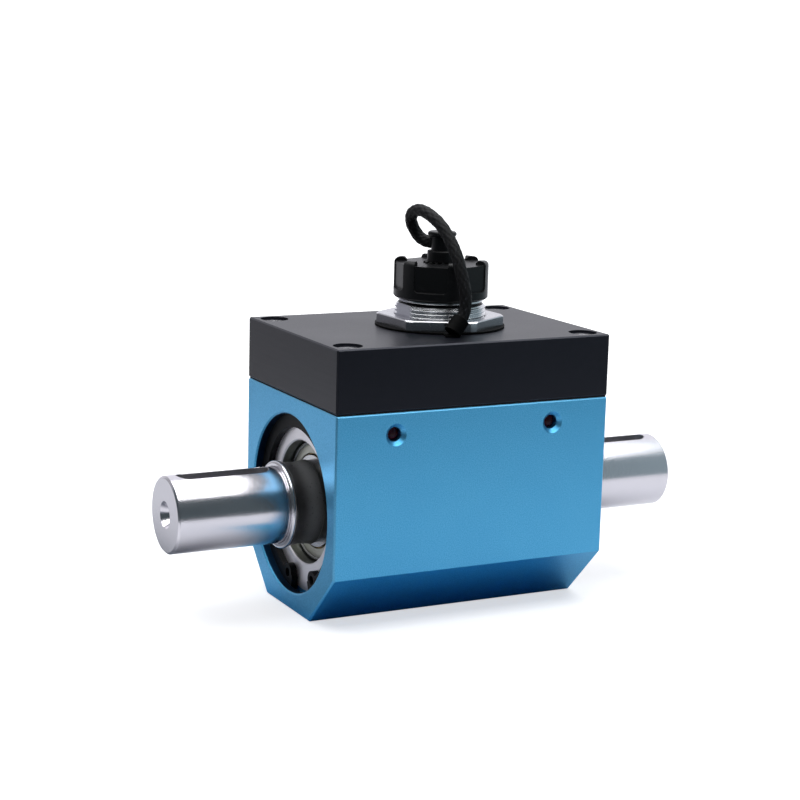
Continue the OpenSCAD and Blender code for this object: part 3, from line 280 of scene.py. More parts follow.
def thread_cut(height, angle):
    """Depth from 0 to 1 of a V groove, rounded at crest and root, that climbs one pitch a turn."""
    turn = height / THREAD_PITCH - angle / (2 * math.pi)
    ridge = np.abs(2 * (turn - np.floor(turn)) - 1)
    slope = np.clip((ridge - CREST_SHARE) / (1 - 2 * CREST_SHARE), 0, 1)
    return slope**2 * (3 - 2 * slope)


def shell_angles():
    """Angles of the columns: even steps round the thread, and finer ones across the flat."""
    flat_edge = math.pi - math.acos(FLAT_OFFSET / THREAD_RADIUS)
    round_part = np.linspace(-flat_edge, flat_edge, ROUND_SIDES, endpoint=False)
    flat_part = np.linspace(flat_edge, 2 * math.pi - flat_edge, FLAT_SIDES, endpoint=False)
    return np.concatenate([round_part, flat_part])[None, :]


def threaded_shell():
    """Rows follow the outline from foot to head. A column at angle a puts radius r at (r cos a, r sin a)."""
    thread_rows = np.concatenate([[THREAD_FOOT], np.arange(THREAD_START, THREAD_TOP, THREAD_STEP)])
    outline = np.concatenate([
        SHELL_FOOT,
        np.column_stack([np.full(len(thread_rows), THREAD_RADIUS), thread_rows]),
        SHELL_HEAD,
    ])
    angle = shell_angles()
    radius = np.repeat(outline[:, :1], angle.size, axis=1)
    height = np.repeat(outline[:, 1:], angle.size, axis=1)
    threaded = slice(len(SHELL_FOOT), len(SHELL_FOOT) + len(thread_rows))
    radius[threaded] -= THREAD_DEPTH * thread_cut(height[threaded], angle)
    top_chamfer = THREAD_RADIUS - np.clip(height[threaded] - (THREAD_TOP - TOP_CHAMFER), 0, None)
    radius[threaded] = np.minimum(radius[threaded], top_chamfer)
    flat_reach = FLAT_OFFSET / np.maximum(-np.cos(angle), SMALL_COSINE)
    radius[threaded] = np.minimum(radius[threaded], flat_reach)
    points = np.stack([CONNECTOR_X + radius * np.cos(angle), radius * np.sin(angle), height], axis=-1)
    return points * MM


shell = surface_piece("threaded_shell", threaded_shell(), wrap_rows=True, sharp_angle=40)
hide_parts("connector_shell")
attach(shell, "housing_body")
print("shell", len(shell.data.polygons), "faces")

# %% [markdown]
# ## Shader maths as Python
# Materials are graphs of nodes. One small class wraps a socket and overloads the operators,
# so that a formula in Python adds its own Math nodes. Every other node comes from one method
# that takes its kind, its settings and the values or links of its sockets. No real edge is
# quite sharp, so a finish's relief also rounds the corners a little in the light.

# %% Sockets and finishes
class Wire:
    """One output socket. Arithmetic with numbers or other wires adds Math nodes to its graph."""

    def __init__(self, graph, socket):
        self.graph = graph
        self.socket = socket

    def __add__(self, other):
        return self.graph.maths("ADD", self, other)

    __radd__ = __add__

    def __sub__(self, other):
        return self.graph.maths("SUBTRACT", self, other)

    def __rsub__(self, other):
        return self.graph.maths("SUBTRACT", other, self)

    def __mul__(self, other):
        return self.graph.maths("MULTIPLY", self, other)

    __rmul__ = __mul__

    def __truediv__(self, other):
        return self.graph.maths("DIVIDE", self, other)

    def __pow__(self, power):
        return self.graph.maths("POWER", self, power)

    def __abs__(self):
        return self.graph.maths("ABSOLUTE", self)

    def most(self, other):
        return self.graph.maths("MAXIMUM", self, other)

    def sine(self):
        return self.graph.maths("SINE", self)

    def step(self, low, high):
        """0 below low, 1 above high, and a smooth rise between them."""
        limits = {"Value": self, "From Min": low, "From Max": high}
        return self.graph.node("MapRange", {"interpolation_type": "SMOOTHSTEP"}, limits)


class Graph:
    """A node tree with one method for every kind of node."""

    def __init__(self, tree):
        self.tree = tree

    def node(self, kind, settings=None, inputs=None, output=0):
        made = self.tree.nodes.new("ShaderNode" + kind)
        for name, value in (settings or {}).items():
            setattr(made, name, value)
        for key, value in (inputs or {}).items():
            if isinstance(value, Wire):
                self.tree.links.new(value.socket, made.inputs[key])
            else:
                made.inputs[key].default_value = value
        return Wire(self, made.outputs[output])

    def maths(self, operation, *values):
        return self.node("Math", {"operation": operation}, dict(enumerate(values)))

    def mix(self, factor, first, second):
        """Colour mix: first where factor is 0, second where it is 1."""
        return self.node("Mix", {"data_type": "RGBA"}, {0: factor, 6: first, 7: second}, 2)


EDGE_ROUND = 0.22 * MM
EDGE_SAMPLES = 4
# The mask of a flat face fades out between these two distances from it.
FACE_NEAR = 0.02 * MM
FACE_FAR = 0.06 * MM


class Finish(Graph):
    """A material: constants go on the shader's own sockets, and what varies is fed in."""

    def __init__(self, name, **constants):
        self.material = bpy.data.materials.new(name)
        self.material.use_nodes = True
        super().__init__(self.material.node_tree)
        self.shader = self.tree.nodes["Principled BSDF"]
        for socket, value in constants.items():
            self.shader.inputs[socket.replace("_", " ")].default_value = value
        self.place = self.node("TexCoord", output="Object")
        self.x = self.node("SeparateXYZ", inputs={0: self.place}, output=0)
        self.y = self.node("SeparateXYZ", inputs={0: self.place}, output=1)
        self.z = self.node("SeparateXYZ", inputs={0: self.place}, output=2)

    def feed(self, socket, wire):
        self.tree.links.new(wire.socket, self.shader.inputs[socket])

    def bump(self, height, depth, strength=1.0):
        """Relief from a height, on a surface whose corners catch the light as if slightly rounded."""
        rounded = self.node("Bevel", {"samples": EDGE_SAMPLES}, {"Radius": EDGE_ROUND})
        relief = {"Strength": strength, "Distance": depth, "Height": height, "Normal": rounded}
        self.feed("Normal", self.node("Bump", None, relief))

    def grain(self, size, detail=2.0, stretch=(1, 1, 1)):
        """Noise from 0 to 1 with spots about size metres across, longer where stretch is small."""
        where = self.node("VectorMath", {"operation": "MULTIPLY"}, {0: self.place, 1: stretch})
        return self.node("TexNoise", None, {"Vector": where, "Scale": 1 / size, "Detail": detail})

    def lines(self, where, size, detail=2.0):
        """Noise along one coordinate only, for turned or milled lines about size metres wide."""
        inputs = {"W": where, "Scale": 1 / size, "Detail": detail}
        return self.node("TexNoise", {"noise_dimensions": "1D"}, inputs)

    def wear(self, *node_names):
        for name in node_names:
            slots = nodes[name].data.materials
            slots.clear()
            slots.append(self.material)


def colour(red, green, blue):
    """Screen colour from 0 to 255 as linear light, with full alpha."""
    screen = np.array([red, green, blue]) / 255
    linear = np.where(screen <= 0.04045, screen / 12.92, ((screen + 0.055) / 1.055) ** 2.4)
    return (*linear.tolist(), 1.0)


print("finish helpers ready")

# %% [markdown]
# ## Blue anodised housing
# The block is milled, blasted with fine beads and dyed blue. Up close the blast shows as a
# tight sparkle. The edges carry a painted highlight, a lighter blue. The grain could be a bump
# alone, but its colour is what the eye sees at this distance, so noise drives both.

# %% Blue anodised housing
AXIS_HEIGHT = 28.1 * MM


def axis_radius(finish):
    """Distance from the shaft's axis, from the Y and Z places."""
    return (finish.y**2.0 + (finish.z - AXIS_HEIGHT) ** 2.0) ** 0.5


BORE_RADIUS = 23.5 * MM
HOUSING_HALF_X = 39.3 * MM
HOUSING_HALF_Y = 28.0 * MM
HOUSING_TOP = 56.4 * MM
EDGE_BAND = 0.55 * MM
BORE_MARGIN = 0.05 * MM
BORE_MOUTH = 0.6 * MM


def edge_mask(finish, half_x, half_y, low, high):
    """1 where two of the three outside faces of a block are both closer than the band, else 0."""
    near_x = (abs(finish.x) - (half_x - EDGE_BAND)).step(0, EDGE_BAND)
    near_y = (abs(finish.y) - (half_y - EDGE_BAND)).step(0, EDGE_BAND)
    middle = (low + high) / 2
    near_z = (abs(finish.z - middle) - ((high - low) / 2 - EDGE_BAND)).step(0, EDGE_BAND)
    return (near_x * near_y).most(near_y * near_z).most(near_x * near_z)


blue = Finish("blue_anodised", Metallic=0.9)
blast = blue.grain(0.28 * MM, 3.0)
cloud = blue.grain(14 * MM, 2.0)
# Painted highlight: the outside edges of the block are painted a lighter blue.
edge_highlight = edge_mask(blue, HOUSING_HALF_X, HOUSING_HALF_Y, 0.0, HOUSING_TOP)
dye_and_highlight = blue.mix(blast.step(0.3, 0.7), colour(79, 167, 214), colour(106, 192, 235))
dye_and_highlight = blue.mix(cloud * 0.25, dye_and_highlight, colour(70, 158, 212))
dye_and_highlight = blue.mix(edge_highlight * 0.45, dye_and_highlight, colour(150, 205, 232))
# Painted shade: the wall inside the bore is painted dark navy.
within_bore = (BORE_RADIUS + BORE_MARGIN - axis_radius(blue)).step(0, BORE_MARGIN)
behind_end_face = (HOUSING_HALF_X - abs(blue.x)).step(0, BORE_MOUTH)
bore_shade = within_bore * behind_end_face
blue.feed("Base Color", blue.mix(bore_shade, dye_and_highlight, colour(16, 52, 84)))
blue.feed("Roughness", 0.33 + 0.16 * blast)
blue.bump(blast, 0.02 * MM, 0.6)
blue.wear("housing")
print("blue anodised housing")

# %% [markdown]
# ## Black anodised cover
# The cover is a second aluminium block, dyed black and left with faint milling lines. A
# black metal looks grey only where it mirrors something bright, so the shader is a plain
# dark one whose gloss does the work, apart from a painted highlight along its edges.
# Roughness carries the lines and the fine blast.

# %% Black anodised cover
COVER_BOTTOM = 56.7 * MM
cover = Finish("black_anodised", **{"IOR": 1.38, "Specular Tint": (0.80, 0.82, 1.0, 1)})
cover_blast = cover.grain(0.3 * MM, 2.0)
milling = cover.grain(0.5 * MM, 2.0, stretch=(0.02, 0.02, 1))
# Painted highlight: the cover's outside edges are painted a lighter grey.
cover_edge_highlight = edge_mask(cover, HOUSING_HALF_X, HOUSING_HALF_Y, COVER_BOTTOM, COVER_TOP * MM)
black_dye = cover.mix(cover_blast, (0.0014, 0.0017, 0.0032, 1), (0.0038, 0.0045, 0.0078, 1))
cover.feed("Base Color", cover.mix(cover_edge_highlight * 0.4, black_dye, (0.07, 0.073, 0.085, 1)))
cover.feed("Roughness", 0.29 + 0.08 * cover_blast + 0.06 * milling)
cover.bump(cover_blast, 0.012 * MM, 0.5)
cover.wear("top_cover")
print("black anodised cover")

# %% [markdown]
# ## Turned and ground steel
# The round parts are turned on a lathe, which leaves fine rings on their sides and circles
# on their end faces. The distance from the shaft's axis and the X place feed the same one-way
# noise. Anisotropic gloss could do it, but the export can't carry it. The shaft is ground
# after turning, so an even grain takes the place of the lathe lines in its gloss and relief.

# %% Shaft steel
def turned_steel(name, light, dark, rough, line_size, bump_depth):
    """Metal with fine lathe rings round the axis, and a few broader bands in its gloss."""
    steel = Finish(name, Metallic=1.0)
    fine = steel.lines(steel.x + axis_radius(steel), line_size, 3.0)
    band = steel.lines(steel.x - axis_radius(steel), 12 * line_size, 1.0)
    smear = steel.grain(3 * MM, 3.0)
    steel.tone = steel.mix(fine * 0.5 + smear * 0.3, light, dark)
    steel.feed("Base Color", steel.tone)
    steel.feed("Roughness", rough + 0.10 * (fine - 0.5) + 0.08 * (smear - 0.5) + 0.04 * (band - 0.5))
    steel.bump(fine, bump_depth, 0.5)
    return steel


SHAFT_RADIUS = 10.0 * MM
SHAFT_END = 73.3 * MM
KEYWAY_START = 44.1 * MM
KEYWAY_END = 71.1 * MM
KEYWAY_EDGE = 0.2 * MM
shaft_steel = turned_steel(
    "shaft_steel", (0.76, 0.74, 0.79, 1), (0.64, 0.63, 0.67, 1), 0.14, 0.12 * MM, 0.001 * MM,
)
shaft_x = abs(shaft_steel.x)
below_surface = (SHAFT_RADIUS - axis_radius(shaft_steel)).step(0.10 * MM, 0.25 * MM)
past_start = shaft_x.step(KEYWAY_START, KEYWAY_START + KEYWAY_EDGE)
past_end = shaft_x.step(KEYWAY_END, KEYWAY_END + KEYWAY_EDGE)
in_keyway = below_surface * past_start * (1 - past_end)
# Painted shade: the shaft's end face is painted a darker grey than its side.
end_face_shade = shaft_x.step(SHAFT_END - FACE_FAR, SHAFT_END - FACE_NEAR)
# Painted shade: the inside of the keyway is painted a dark grey.
keyway_shade = shaft_steel.mix(in_keyway, shaft_steel.tone, (0.34, 0.33, 0.35, 1))
shaft_steel.feed("Base Color", shaft_steel.mix(end_face_shade, keyway_shade, (0.53, 0.52, 0.56, 1)))
ground = shaft_steel.grain(0.4 * MM, 2.0)
shaft_steel.feed("Roughness", 0.20 + 0.12 * (ground - 0.5) + 0.25 * in_keyway)
shaft_steel.bump(ground, 0.03 * MM, 0.6)
shaft_steel.wear("shaft")
print("shaft steel")

# %% Bearing, collar and carrier metals
OUTER_RING_EDGE = 15.45 * MM
CARRIER_BORE = 16.2 * MM
bearing_steel = turned_steel(
    "bearing_steel", (0.62, 0.62, 0.63, 1), (0.48, 0.48, 0.50, 1), 0.24, 0.15 * MM, 0.001 * MM,
)
# Painted shade: the outer ring's corner is painted near black, as the shadow in its chamfer.
ring_corner_shade = axis_radius(bearing_steel).step(OUTER_RING_EDGE, OUTER_RING_EDGE + 0.1 * MM)
bearing_steel.feed("Base Color", bearing_steel.mix(ring_corner_shade, bearing_steel.tone, (0.06, 0.06, 0.06, 1)))
bearing_steel.wear(
    "bearing_outer_ring_left", "bearing_outer_ring_right",
    "bearing_inner_ring_left", "bearing_inner_ring_right",
)
shield_steel = turned_steel(
    "shield_steel", (0.60, 0.60, 0.54, 1), (0.50, 0.50, 0.44, 1), 0.40, 0.3 * MM, 0.003 * MM,
)
shield_steel.wear("bearing_shields_left", "bearing_shields_right")
collar_steel = turned_steel(
    "collar_steel", (0.66, 0.65, 0.68, 1), (0.54, 0.53, 0.57, 1), 0.20, 0.1 * MM, 0.001 * MM,
)
collar_steel.wear("collar_ring_left", "collar_ring_right")
carrier_grey = turned_steel(
    "carrier_aluminium", (0.88, 0.86, 0.89, 1), (0.78, 0.76, 0.79, 1), 0.42, 0.2 * MM, 0.003 * MM,
)
# Painted shade: the carrier's bore is painted a dark greenish grey.
carrier_bore_shade = 1 - axis_radius(carrier_grey).step(CARRIER_BORE - 0.1 * MM, CARRIER_BORE)
carrier_grey.feed("Base Color", carrier_grey.mix(carrier_bore_shade, carrier_grey.tone, (0.20, 0.21, 0.19, 1)))
carrier_grey.wear("bearing_carrier_left", "bearing_carrier_right", "stator_tube", "rotor_hub")
print("bearing, collar and carrier metals")

# %% [markdown]
# ## Plated and polished fittings
# The connector's shell and nut are nickel plated, the cover's screws are zinc plated, and
# the pins are gold. Plating follows the metal below: smooth, with small scratches and a
# slightly duller cloudiness. One function makes them all from two tones and a roughness.

# %% Plated fittings
SCRATCH_WIDTH = 0.15 * MM


def plated(name, light, dark, rough, scratch=0.06):
    """Bright metal with clouds in its gloss and fine crossing scratches."""
    plate = Finish(name, Metallic=1.0)
    cloud_spots = plate.grain(1.6 * MM, 3.0)
    lengthwise = plate.grain(SCRATCH_WIDTH, 2.0, stretch=(0.08, 1, 1))
    crosswise = plate.grain(SCRATCH_WIDTH, 2.0, stretch=(1, 0.08, 0.6))
    scratches = lengthwise.most(crosswise)
    marks = scratches.step(0.62, 0.75)
    plate.tone = plate.mix(cloud_spots, light, dark)
    plate.gloss = rough + scratch * marks + 0.10 * (cloud_spots - 0.5)
    plate.feed("Base Color", plate.tone)
    plate.feed("Roughness", plate.gloss)
    plate.bump(scratches, 0.002 * MM, 0.5)
    return plate


shell_nickel = plated("shell_nickel", (0.72, 0.73, 0.75, 1), (0.58, 0.59, 0.61, 1), 0.20)
flat_place = (CONNECTOR_X - FLAT_OFFSET) * MM
on_flat = 1 - shell_nickel.x.step(flat_place + FACE_NEAR, flat_place + FACE_FAR)
above_thread = shell_nickel.z.step((THREAD_TOP - 0.05) * MM, (THREAD_TOP + 0.02) * MM)
above_groove = shell_nickel.z.step((GROOVE_TOP - 0.02) * MM, (GROOVE_TOP + 0.05) * MM)
shaded_groove = above_thread * (1 - above_groove)
shell_tone = shell_nickel.mix(on_flat, shell_nickel.tone, (0.58, 0.58, 0.64, 1))
# Painted shade: the groove above the thread is painted near black.
shell_nickel.feed("Base Color", shell_nickel.mix(shaded_groove, shell_tone, (0.012, 0.012, 0.014, 1)))
shell_nickel.feed("Roughness", shell_nickel.gloss + 0.30 * on_flat.most(shaded_groove))
shell.data.materials.append(shell_nickel.material)
plated("nut_nickel", (0.62, 0.62, 0.65, 1), (0.48, 0.48, 0.51, 1), 0.22).wear("connector_nut")
print("shell and nut")

# %% Screws, pins, balls and cages
SCREW_X = 34.1 * MM
SCREW_Y = 22.8 * MM
SCREW_HEAD_TOP = 72.2 * MM
SOCKET_RADIUS = 1.8 * MM
screw_zinc = plated("screw_zinc", (0.62, 0.62, 0.64, 1), (0.46, 0.46, 0.49, 1), 0.34)
from_screw = ((abs(screw_zinc.x) - SCREW_X) ** 2.0 + (abs(screw_zinc.y) - SCREW_Y) ** 2.0) ** 0.5
near_screw_axis = (SOCKET_RADIUS - from_screw).step(0, FACE_NEAR)
below_head_top = (SCREW_HEAD_TOP - screw_zinc.z).step(FACE_NEAR, FACE_FAR)
socket_shade = near_screw_axis * below_head_top
# Painted shade: the sockets in the screw heads are painted near black.
screw_zinc.feed("Base Color", screw_zinc.mix(socket_shade, screw_zinc.tone, (0.03, 0.03, 0.032, 1)))
screw_zinc.wear("cover_screws", "board_screws")
plated("pin_gold", (0.90, 0.66, 0.26, 1), (0.78, 0.54, 0.18, 1), 0.22).wear("connector_pins")
ball_steel = plated("ball_steel", (0.80, 0.80, 0.82, 1), (0.74, 0.74, 0.76, 1), 0.08)
ball_steel.wear("bearing_balls_left", "bearing_balls_right")
cage_brass = plated("cage_brass", (0.78, 0.58, 0.26, 1), (0.62, 0.44, 0.18, 1), 0.35)
cage_brass.wear("ball_cage_left", "ball_cage_right", "board_spacers")
print("screws, pins, balls and cages")

# %% [markdown]
# ## Black rubber, plastic and oxide
# Most of the small parts are black, and only their gloss tells them apart. The cap and stud
# are moulded plastic with a fine texture, the sleeve is smoother with a painted highlight, a
# paler band, round its waist, the circlip is phosphated steel and quite dull, and the
# gaskets are soft rubber with a trace of dust.

# %% Black finishes
def black_finish(name, tone, rough, grain_size, bump_depth, dust=0.0, gloss=0.28):
    """Near-black surface: grain in its gloss and relief, and pale dust in broad spots."""
    dark = Finish(name, **{"Specular IOR Level": gloss})
    texture = dark.grain(grain_size, 2.0)
    spots = dark.grain(2.5 * MM, 4.0).step(0.55, 0.8)
    deep = (tone * 0.75, tone * 0.77, tone * 0.85, 1)
    pale = (tone * 1.3, tone * 1.34, tone * 1.5, 1)
    shade = dark.mix(texture, deep, pale)
    dark.tone = dark.mix(spots * dust, shade, (0.10, 0.10, 0.11, 1))
    dark.feed("Base Color", dark.tone)
    dark.feed("Roughness", rough + 0.14 * (texture - 0.5) + 0.10 * spots * (1 if dust else 0.3))
    dark.bump(texture, bump_depth, 0.6)
    return dark


cap_black = black_finish("cap_black", 0.0070, 0.34, 0.25 * MM, 0.010 * MM, dust=0.04, gloss=0.17)
cap_black.wear("dust_cap", "tether_stud")

# Painted highlight: a paler band is painted round the sleeve's waist.
SHEEN_X = 36.6 * MM
SHEEN_HALF = 3.4 * MM
sleeve = black_finish("sleeve_black", 0.009, 0.30, 0.4 * MM, 0.004 * MM, dust=0.05, gloss=1.0)
from_band = (abs(sleeve.x) - SHEEN_X) / SHEEN_HALF
painted_sheen = (1 - from_band * from_band).most(0.0)
sleeve.feed("Base Color", sleeve.mix(painted_sheen * painted_sheen, sleeve.tone, (0.100, 0.102, 0.106, 1)))
sleeve.wear("dust_sleeve_left", "dust_sleeve_right")

clip_steel = black_finish("clip_steel", 0.004, 0.50, 0.2 * MM, 0.008 * MM, gloss=0.12)
clip_steel.wear("circlip_left", "circlip_right")
# The lug is near black: partly its own black, partly painted shade so the ring under the nut reads as a
# shadow line.
black_finish("lug_black", 0.0012, 0.65, 0.3 * MM, 0.006 * MM, gloss=0.06).wear("tether_lug")
black_finish("gasket_rubber", 0.014, 0.7, 0.3 * MM, 0.01 * MM, dust=0.2).wear("cover_gasket", "cap_seal")
black_finish("part_black", 0.02, 0.5, 0.2 * MM, 0.008 * MM).wear("connector_insert", "board_parts")
black_finish("ferrite", 0.06, 0.6, 0.15 * MM, 0.01 * MM).wear("stator_cores", "rotor_cores")
print("black finishes")

# %% [markdown]
# ## Braid of the cord
# The cord's strands are already in its shape. Their height was kept as an attribute, so the
# finish can paint shade into the gaps between strands, and pale flecks on the strands' tops
# that are partly fibre and partly a painted sheen.

# %% Cord braid
GAP_SHADE = (0.0004, 0.0004, 0.0006, 1)
STRAND_BLACK = (0.0028, 0.0031, 0.0042, 1)
braid = Finish("cord_black", **{"Specular IOR Level": 0.22})
height_of_strand = braid.node("Attribute", {"attribute_name": "strand_height"}, output="Fac")
fibres = braid.grain(0.35 * MM, 3.0, stretch=(1, 1, 0.4))
# Painted shade: the gaps between strands are painted darker than the strands.
strands_and_gap_shade = braid.mix(height_of_strand.step(0.4, 1.0), GAP_SHADE, STRAND_BLACK)
# Pale flecks on the strands' tops: partly pale fibre, partly a painted sheen.
flecks_and_sheen = fibres.step(0.56, 0.70) * height_of_strand.step(0.6, 0.9)
braid.feed("Base Color", braid.mix(flecks_and_sheen, strands_and_gap_shade, (0.026, 0.027, 0.034, 1)))
braid.feed("Roughness", 0.5 + 0.3 * fibres)
braid.bump(fibres, 0.03 * MM, 0.6)
tether.data.materials.append(braid.material)
print("cord braid")

# %% [markdown]
# ## Red lamps
# The two front lamps are unlit, so they are a dark red lens with a soft gloss, and a little
# more colour where the dome thins towards its rim.

# %% Red lamps
LAMP_X = 22.7 * MM
LAMP_Z = 50.7 * MM
LENS_MIDDLE = 0.6 * MM
LENS_RIM = 1.8 * MM
lamp = Finish("lamp_red", **{"Specular IOR Level": 0.15})
from_lamp = ((abs(lamp.x) - LAMP_X) ** 2.0 + (lamp.z - LAMP_Z) ** 2.0) ** 0.5
rim = from_lamp.step(LENS_MIDDLE, LENS_RIM)
lamp.feed("Base Color", lamp.mix(rim, (0.030, 0.006, 0.010, 1), (0.13, 0.010, 0.018, 1)))
lamp.feed("Roughness", 0.30 + 0.1 * lamp.grain(0.5 * MM))
lamp.wear("indicator_lamps")
print("red lamps")

# %% [markdown]
# ## Inside the housing
# Nobody sees the coils and the board from outside, but the model can be opened. The coils
# show their wire as fine rings round the axis, the board shows copper tracks under green
# resist, and the gauges show the strips of their foil.

# %% Coils, boards and gauges
WIRE_PITCH = 0.35 * MM
TRACK_PITCH = 4 * MM
FOIL_PITCH = 0.4 * MM
copper = Finish("copper", Metallic=0.9)
wire = (copper.x * (2 * math.pi / WIRE_PITCH)).sine()
copper.feed("Base Color", copper.mix(wire.step(-1, 1), (0.30, 0.11, 0.045, 1), (0.72, 0.33, 0.15, 1)))
copper.feed("Roughness", 0.30 + 0.12 * copper.grain(0.6 * MM))
copper.bump(wire, 0.05 * MM, 0.8)
copper.wear("stator_coils", "rotor_coils", "stator_leads")

board = Finish("board_green")
track_sizes = {"Vector": board.place, "Scale": 1 / TRACK_PITCH, "Mortar Size": 0.07}
tracks = board.node("TexBrick", {"offset": 0.35}, track_sizes, "Fac")
resist = board.mix(board.grain(1.2 * MM), (0.008, 0.10, 0.04, 1), (0.015, 0.15, 0.06, 1))
board.feed("Base Color", board.mix(tracks, resist, (0.03, 0.24, 0.09, 1)))
board.feed("Roughness", 0.32 + 0.1 * board.grain(0.5 * MM))
board.bump(tracks, 0.03 * MM, 0.6)
board.wear("circuit_board", "rotor_board")

foil = Finish("gauge_foil", Metallic=0.2)
strips = (foil.x * (2 * math.pi / FOIL_PITCH)).sine()
foil.feed("Base Color", foil.mix(strips.step(0.2, 0.5), (0.52, 0.27, 0.06, 1), (0.30, 0.24, 0.20, 1)))
foil.feed("Roughness", 0.35 + 0.15 * foil.grain(0.4 * MM))
foil.wear("strain_gauges")
print("coils, boards and gauges")

# %% [markdown]
# ## Studio
# The photograph was lit like most product shots: the part stands on a small white table
# under one large softbox, before a pale backdrop, in an otherwise dark room. Polished steel
# shows each of these as a band: white from above, dark from the room, white from the table.
# Several small lamps would give several bands, so there is just one. The table is a real
# card that catches the part's shadow. Painted shadow is added to its colour too: a dark blue
# patch under the part, tinted as if by light thrown off the housing, and darker painted shade
# to its left. This painted shade is why the lower chamfers stay deep blue. The camera doesn't
# see the table: it sees a bowl that glows white, dimmer near the part, and runs up behind the
# part and never ends. The softbox reaches less far to the right, so the right end of the
# shaft is a little darker.

# %% White bowl for the camera
BOWL_EYE = 0.001
BOWL_FLAT = 1.5
BOWL_BEND = 1.0
BOWL_TOP = 4.0
BOWL_SIDES = 64
BEND_ROWS = 12


def bowl_grid():
    """Rows go out along a flat floor, up a quarter circle and up a wall; columns go round Z."""
    bend = np.linspace(0, math.pi / 2, BEND_ROWS)[1:]
    bend_radius = BOWL_FLAT + BOWL_BEND * np.sin(bend)
    bend_height = BOWL_BEND * (1 - np.cos(bend))
    radius = np.concatenate([[BOWL_EYE, BOWL_FLAT], bend_radius, [BOWL_FLAT + BOWL_BEND]])[:, None]
    height = np.concatenate([[0, 0], bend_height, [BOWL_TOP]])[:, None]
    angle = np.linspace(0, 2 * math.pi, BOWL_SIDES, endpoint=False)[None, :]
    points = [radius * np.cos(angle), radius * np.sin(angle), np.repeat(height, BOWL_SIDES, axis=1)]
    return np.stack(points, axis=-1)[:, ::-1]


bowl = surface_piece("bowl", bowl_grid())
bowl.data.shade_smooth()
bowl_white = Finish("bowl_white", **{"Specular IOR Level": 0.0, "Roughness": 0.9, "Emission Strength": 1.0})
from_part = (bowl_white.x**2.0 + bowl_white.y**2.0) ** 0.5
# Painted light: the bowl glows, dimmer near the part and white further out.
glow = bowl_white.mix(from_part.step(0.12, 0.5), (0.62, 0.62, 0.63, 1), (1.05, 1.05, 1.05, 1))
bowl_white.feed("Emission Color", glow)
bowl_paper = bowl_white.mix(bowl_white.grain(0.05), (0.50, 0.50, 0.51, 1), (0.54, 0.54, 0.54, 1))
bowl_white.feed("Base Color", bowl_paper)
bowl.data.materials.append(bowl_white.material)
bowl.visible_diffuse = False
bowl.visible_glossy = False
bowl.visible_shadow = False
print("bowl", len(bowl.data.polygons), "faces")

# %% Table card for the part
TABLE_HALF = 0.24
TABLE_DROP = 0.0003


def patch(finish, left, right, front, back, soft_x, soft_y):
    """1 inside a rectangle of X and Y, falling to 0 at its edges over the soft widths."""
    across = (finish.x - left).step(0, soft_x) * (right - finish.x).step(0, soft_x)
    along = (finish.y - front).step(0, soft_y) * (back - finish.y).step(0, soft_y)
    return across * along


corner_signs = np.array([[-1, -1, 0], [1, -1, 0], [1, 1, 0], [-1, 1, 0]])
table_corners = corner_signs * TABLE_HALF - [0, 0, TABLE_DROP]
table_mesh = bpy.data.meshes.new("table")
table_mesh.from_pydata(table_corners.tolist(), [], [[0, 1, 2, 3]])
table = bpy.data.objects.new("table", table_mesh)
bpy.context.scene.collection.objects.link(table)
table_white = Finish("table_white", **{"Specular IOR Level": 0.0, "Roughness": 0.9})
paper_and_shade = table_white.mix(table_white.grain(0.04), (0.62, 0.62, 0.65, 1), (0.66, 0.66, 0.68, 1))
# Painted shadow: under the part the table is painted dark blue, as shadow tinted by light thrown off the
# housing.
shadow_under_part = patch(table_white, -0.048, 0.040, -0.050, 0.050, 0.012, 0.015)
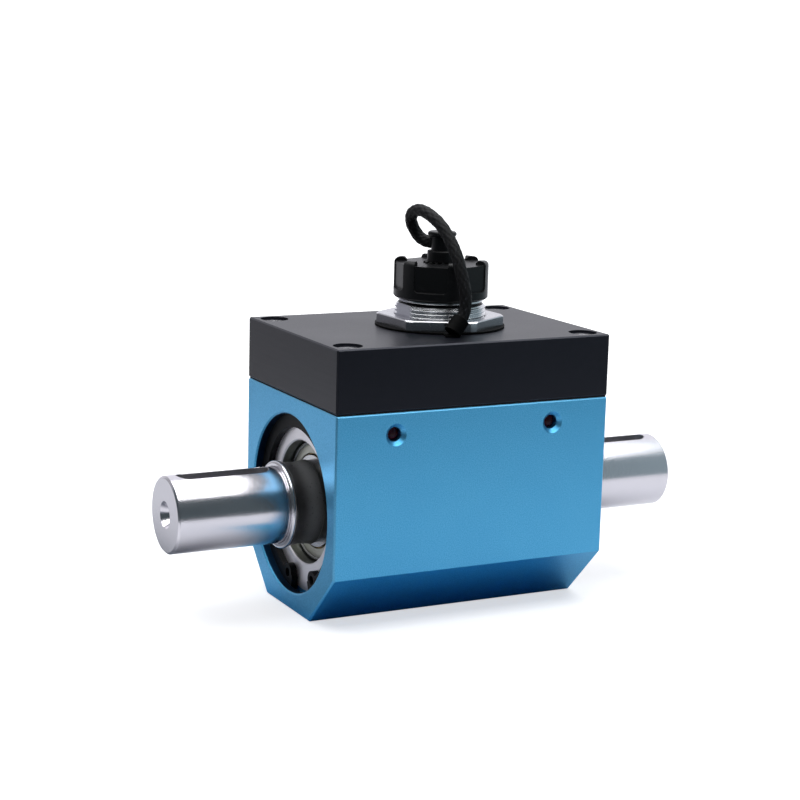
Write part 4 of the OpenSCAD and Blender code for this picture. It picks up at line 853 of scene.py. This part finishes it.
# Painted shade: two patches to the left of the part are painted darker.
shade_back_left = patch(table_white, -0.110, -0.045, -0.020, 0.130, 0.020, 0.030)
shade_front_left = patch(table_white, -0.300, -0.060, -0.300, -0.050, 0.030, 0.030)
paper_and_shade = table_white.mix(shade_back_left.most(shade_front_left), paper_and_shade, (0.12, 0.13, 0.15, 1))
table_white.feed("Base Color", table_white.mix(shadow_under_part, paper_and_shade, (0.055, 0.33, 0.53, 1)))
table.data.materials.append(table_white.material)
table.visible_camera = False
print("table", 2 * TABLE_HALF, "m wide")

# %% Softbox
SOFTBOX_LENGTH = 0.93
SOFTBOX_WIDTH = 0.75
SOFTBOX_PLACE = (-0.035, 0.0, 0.60)
SOFTBOX_WATTS = 7.4
softbox_light = bpy.data.lights.new("softbox", "AREA")
softbox_light.shape = "RECTANGLE"
softbox_light.size = SOFTBOX_LENGTH
softbox_light.size_y = SOFTBOX_WIDTH
softbox_light.energy = SOFTBOX_WATTS
softbox = bpy.data.objects.new("softbox", softbox_light)
softbox.location = SOFTBOX_PLACE
bpy.context.scene.collection.objects.link(softbox)
print("softbox", SOFTBOX_WATTS, "W")

# %% Room
ROOM_DARK = 0.09
ROOM_RIGHT = 0.50
BACKDROP = 1.0
BACKDROP_LEFT = 0.46
BACKDROP_EDGE = (0.10, 0.55)
RIGHT_EDGE = (0.42, 0.60)
LEFT_EDGE = (-0.45, 0.15)
world = bpy.data.worlds.new("studio")
world.use_nodes = True
bpy.context.scene.world = world
room = Graph(world.node_tree)
direction = room.node("TexCoord", output="Generated")
to_right = room.node("SeparateXYZ", inputs={0: direction}, output=0)
to_back = room.node("SeparateXYZ", inputs={0: direction}, output=1)
behind = to_back.step(*BACKDROP_EDGE)
front_light = ROOM_DARK + (ROOM_RIGHT - ROOM_DARK) * to_right.step(*RIGHT_EDGE)
back_light = BACKDROP_LEFT + (BACKDROP - BACKDROP_LEFT) * to_right.step(*LEFT_EDGE)
room_strength = front_light + (back_light - front_light) * behind
backdrop = room.tree.nodes["Background"]
room_tint = room.mix(behind, (0.72, 0.92, 1.0, 1), (0.94, 0.94, 1.0, 1))
room.tree.links.new(room_tint.socket, backdrop.inputs["Color"])
room.tree.links.new(room_strength.socket, backdrop.inputs["Strength"])
bpy.context.scene.view_settings.view_transform = "Standard"
print("studio ready")
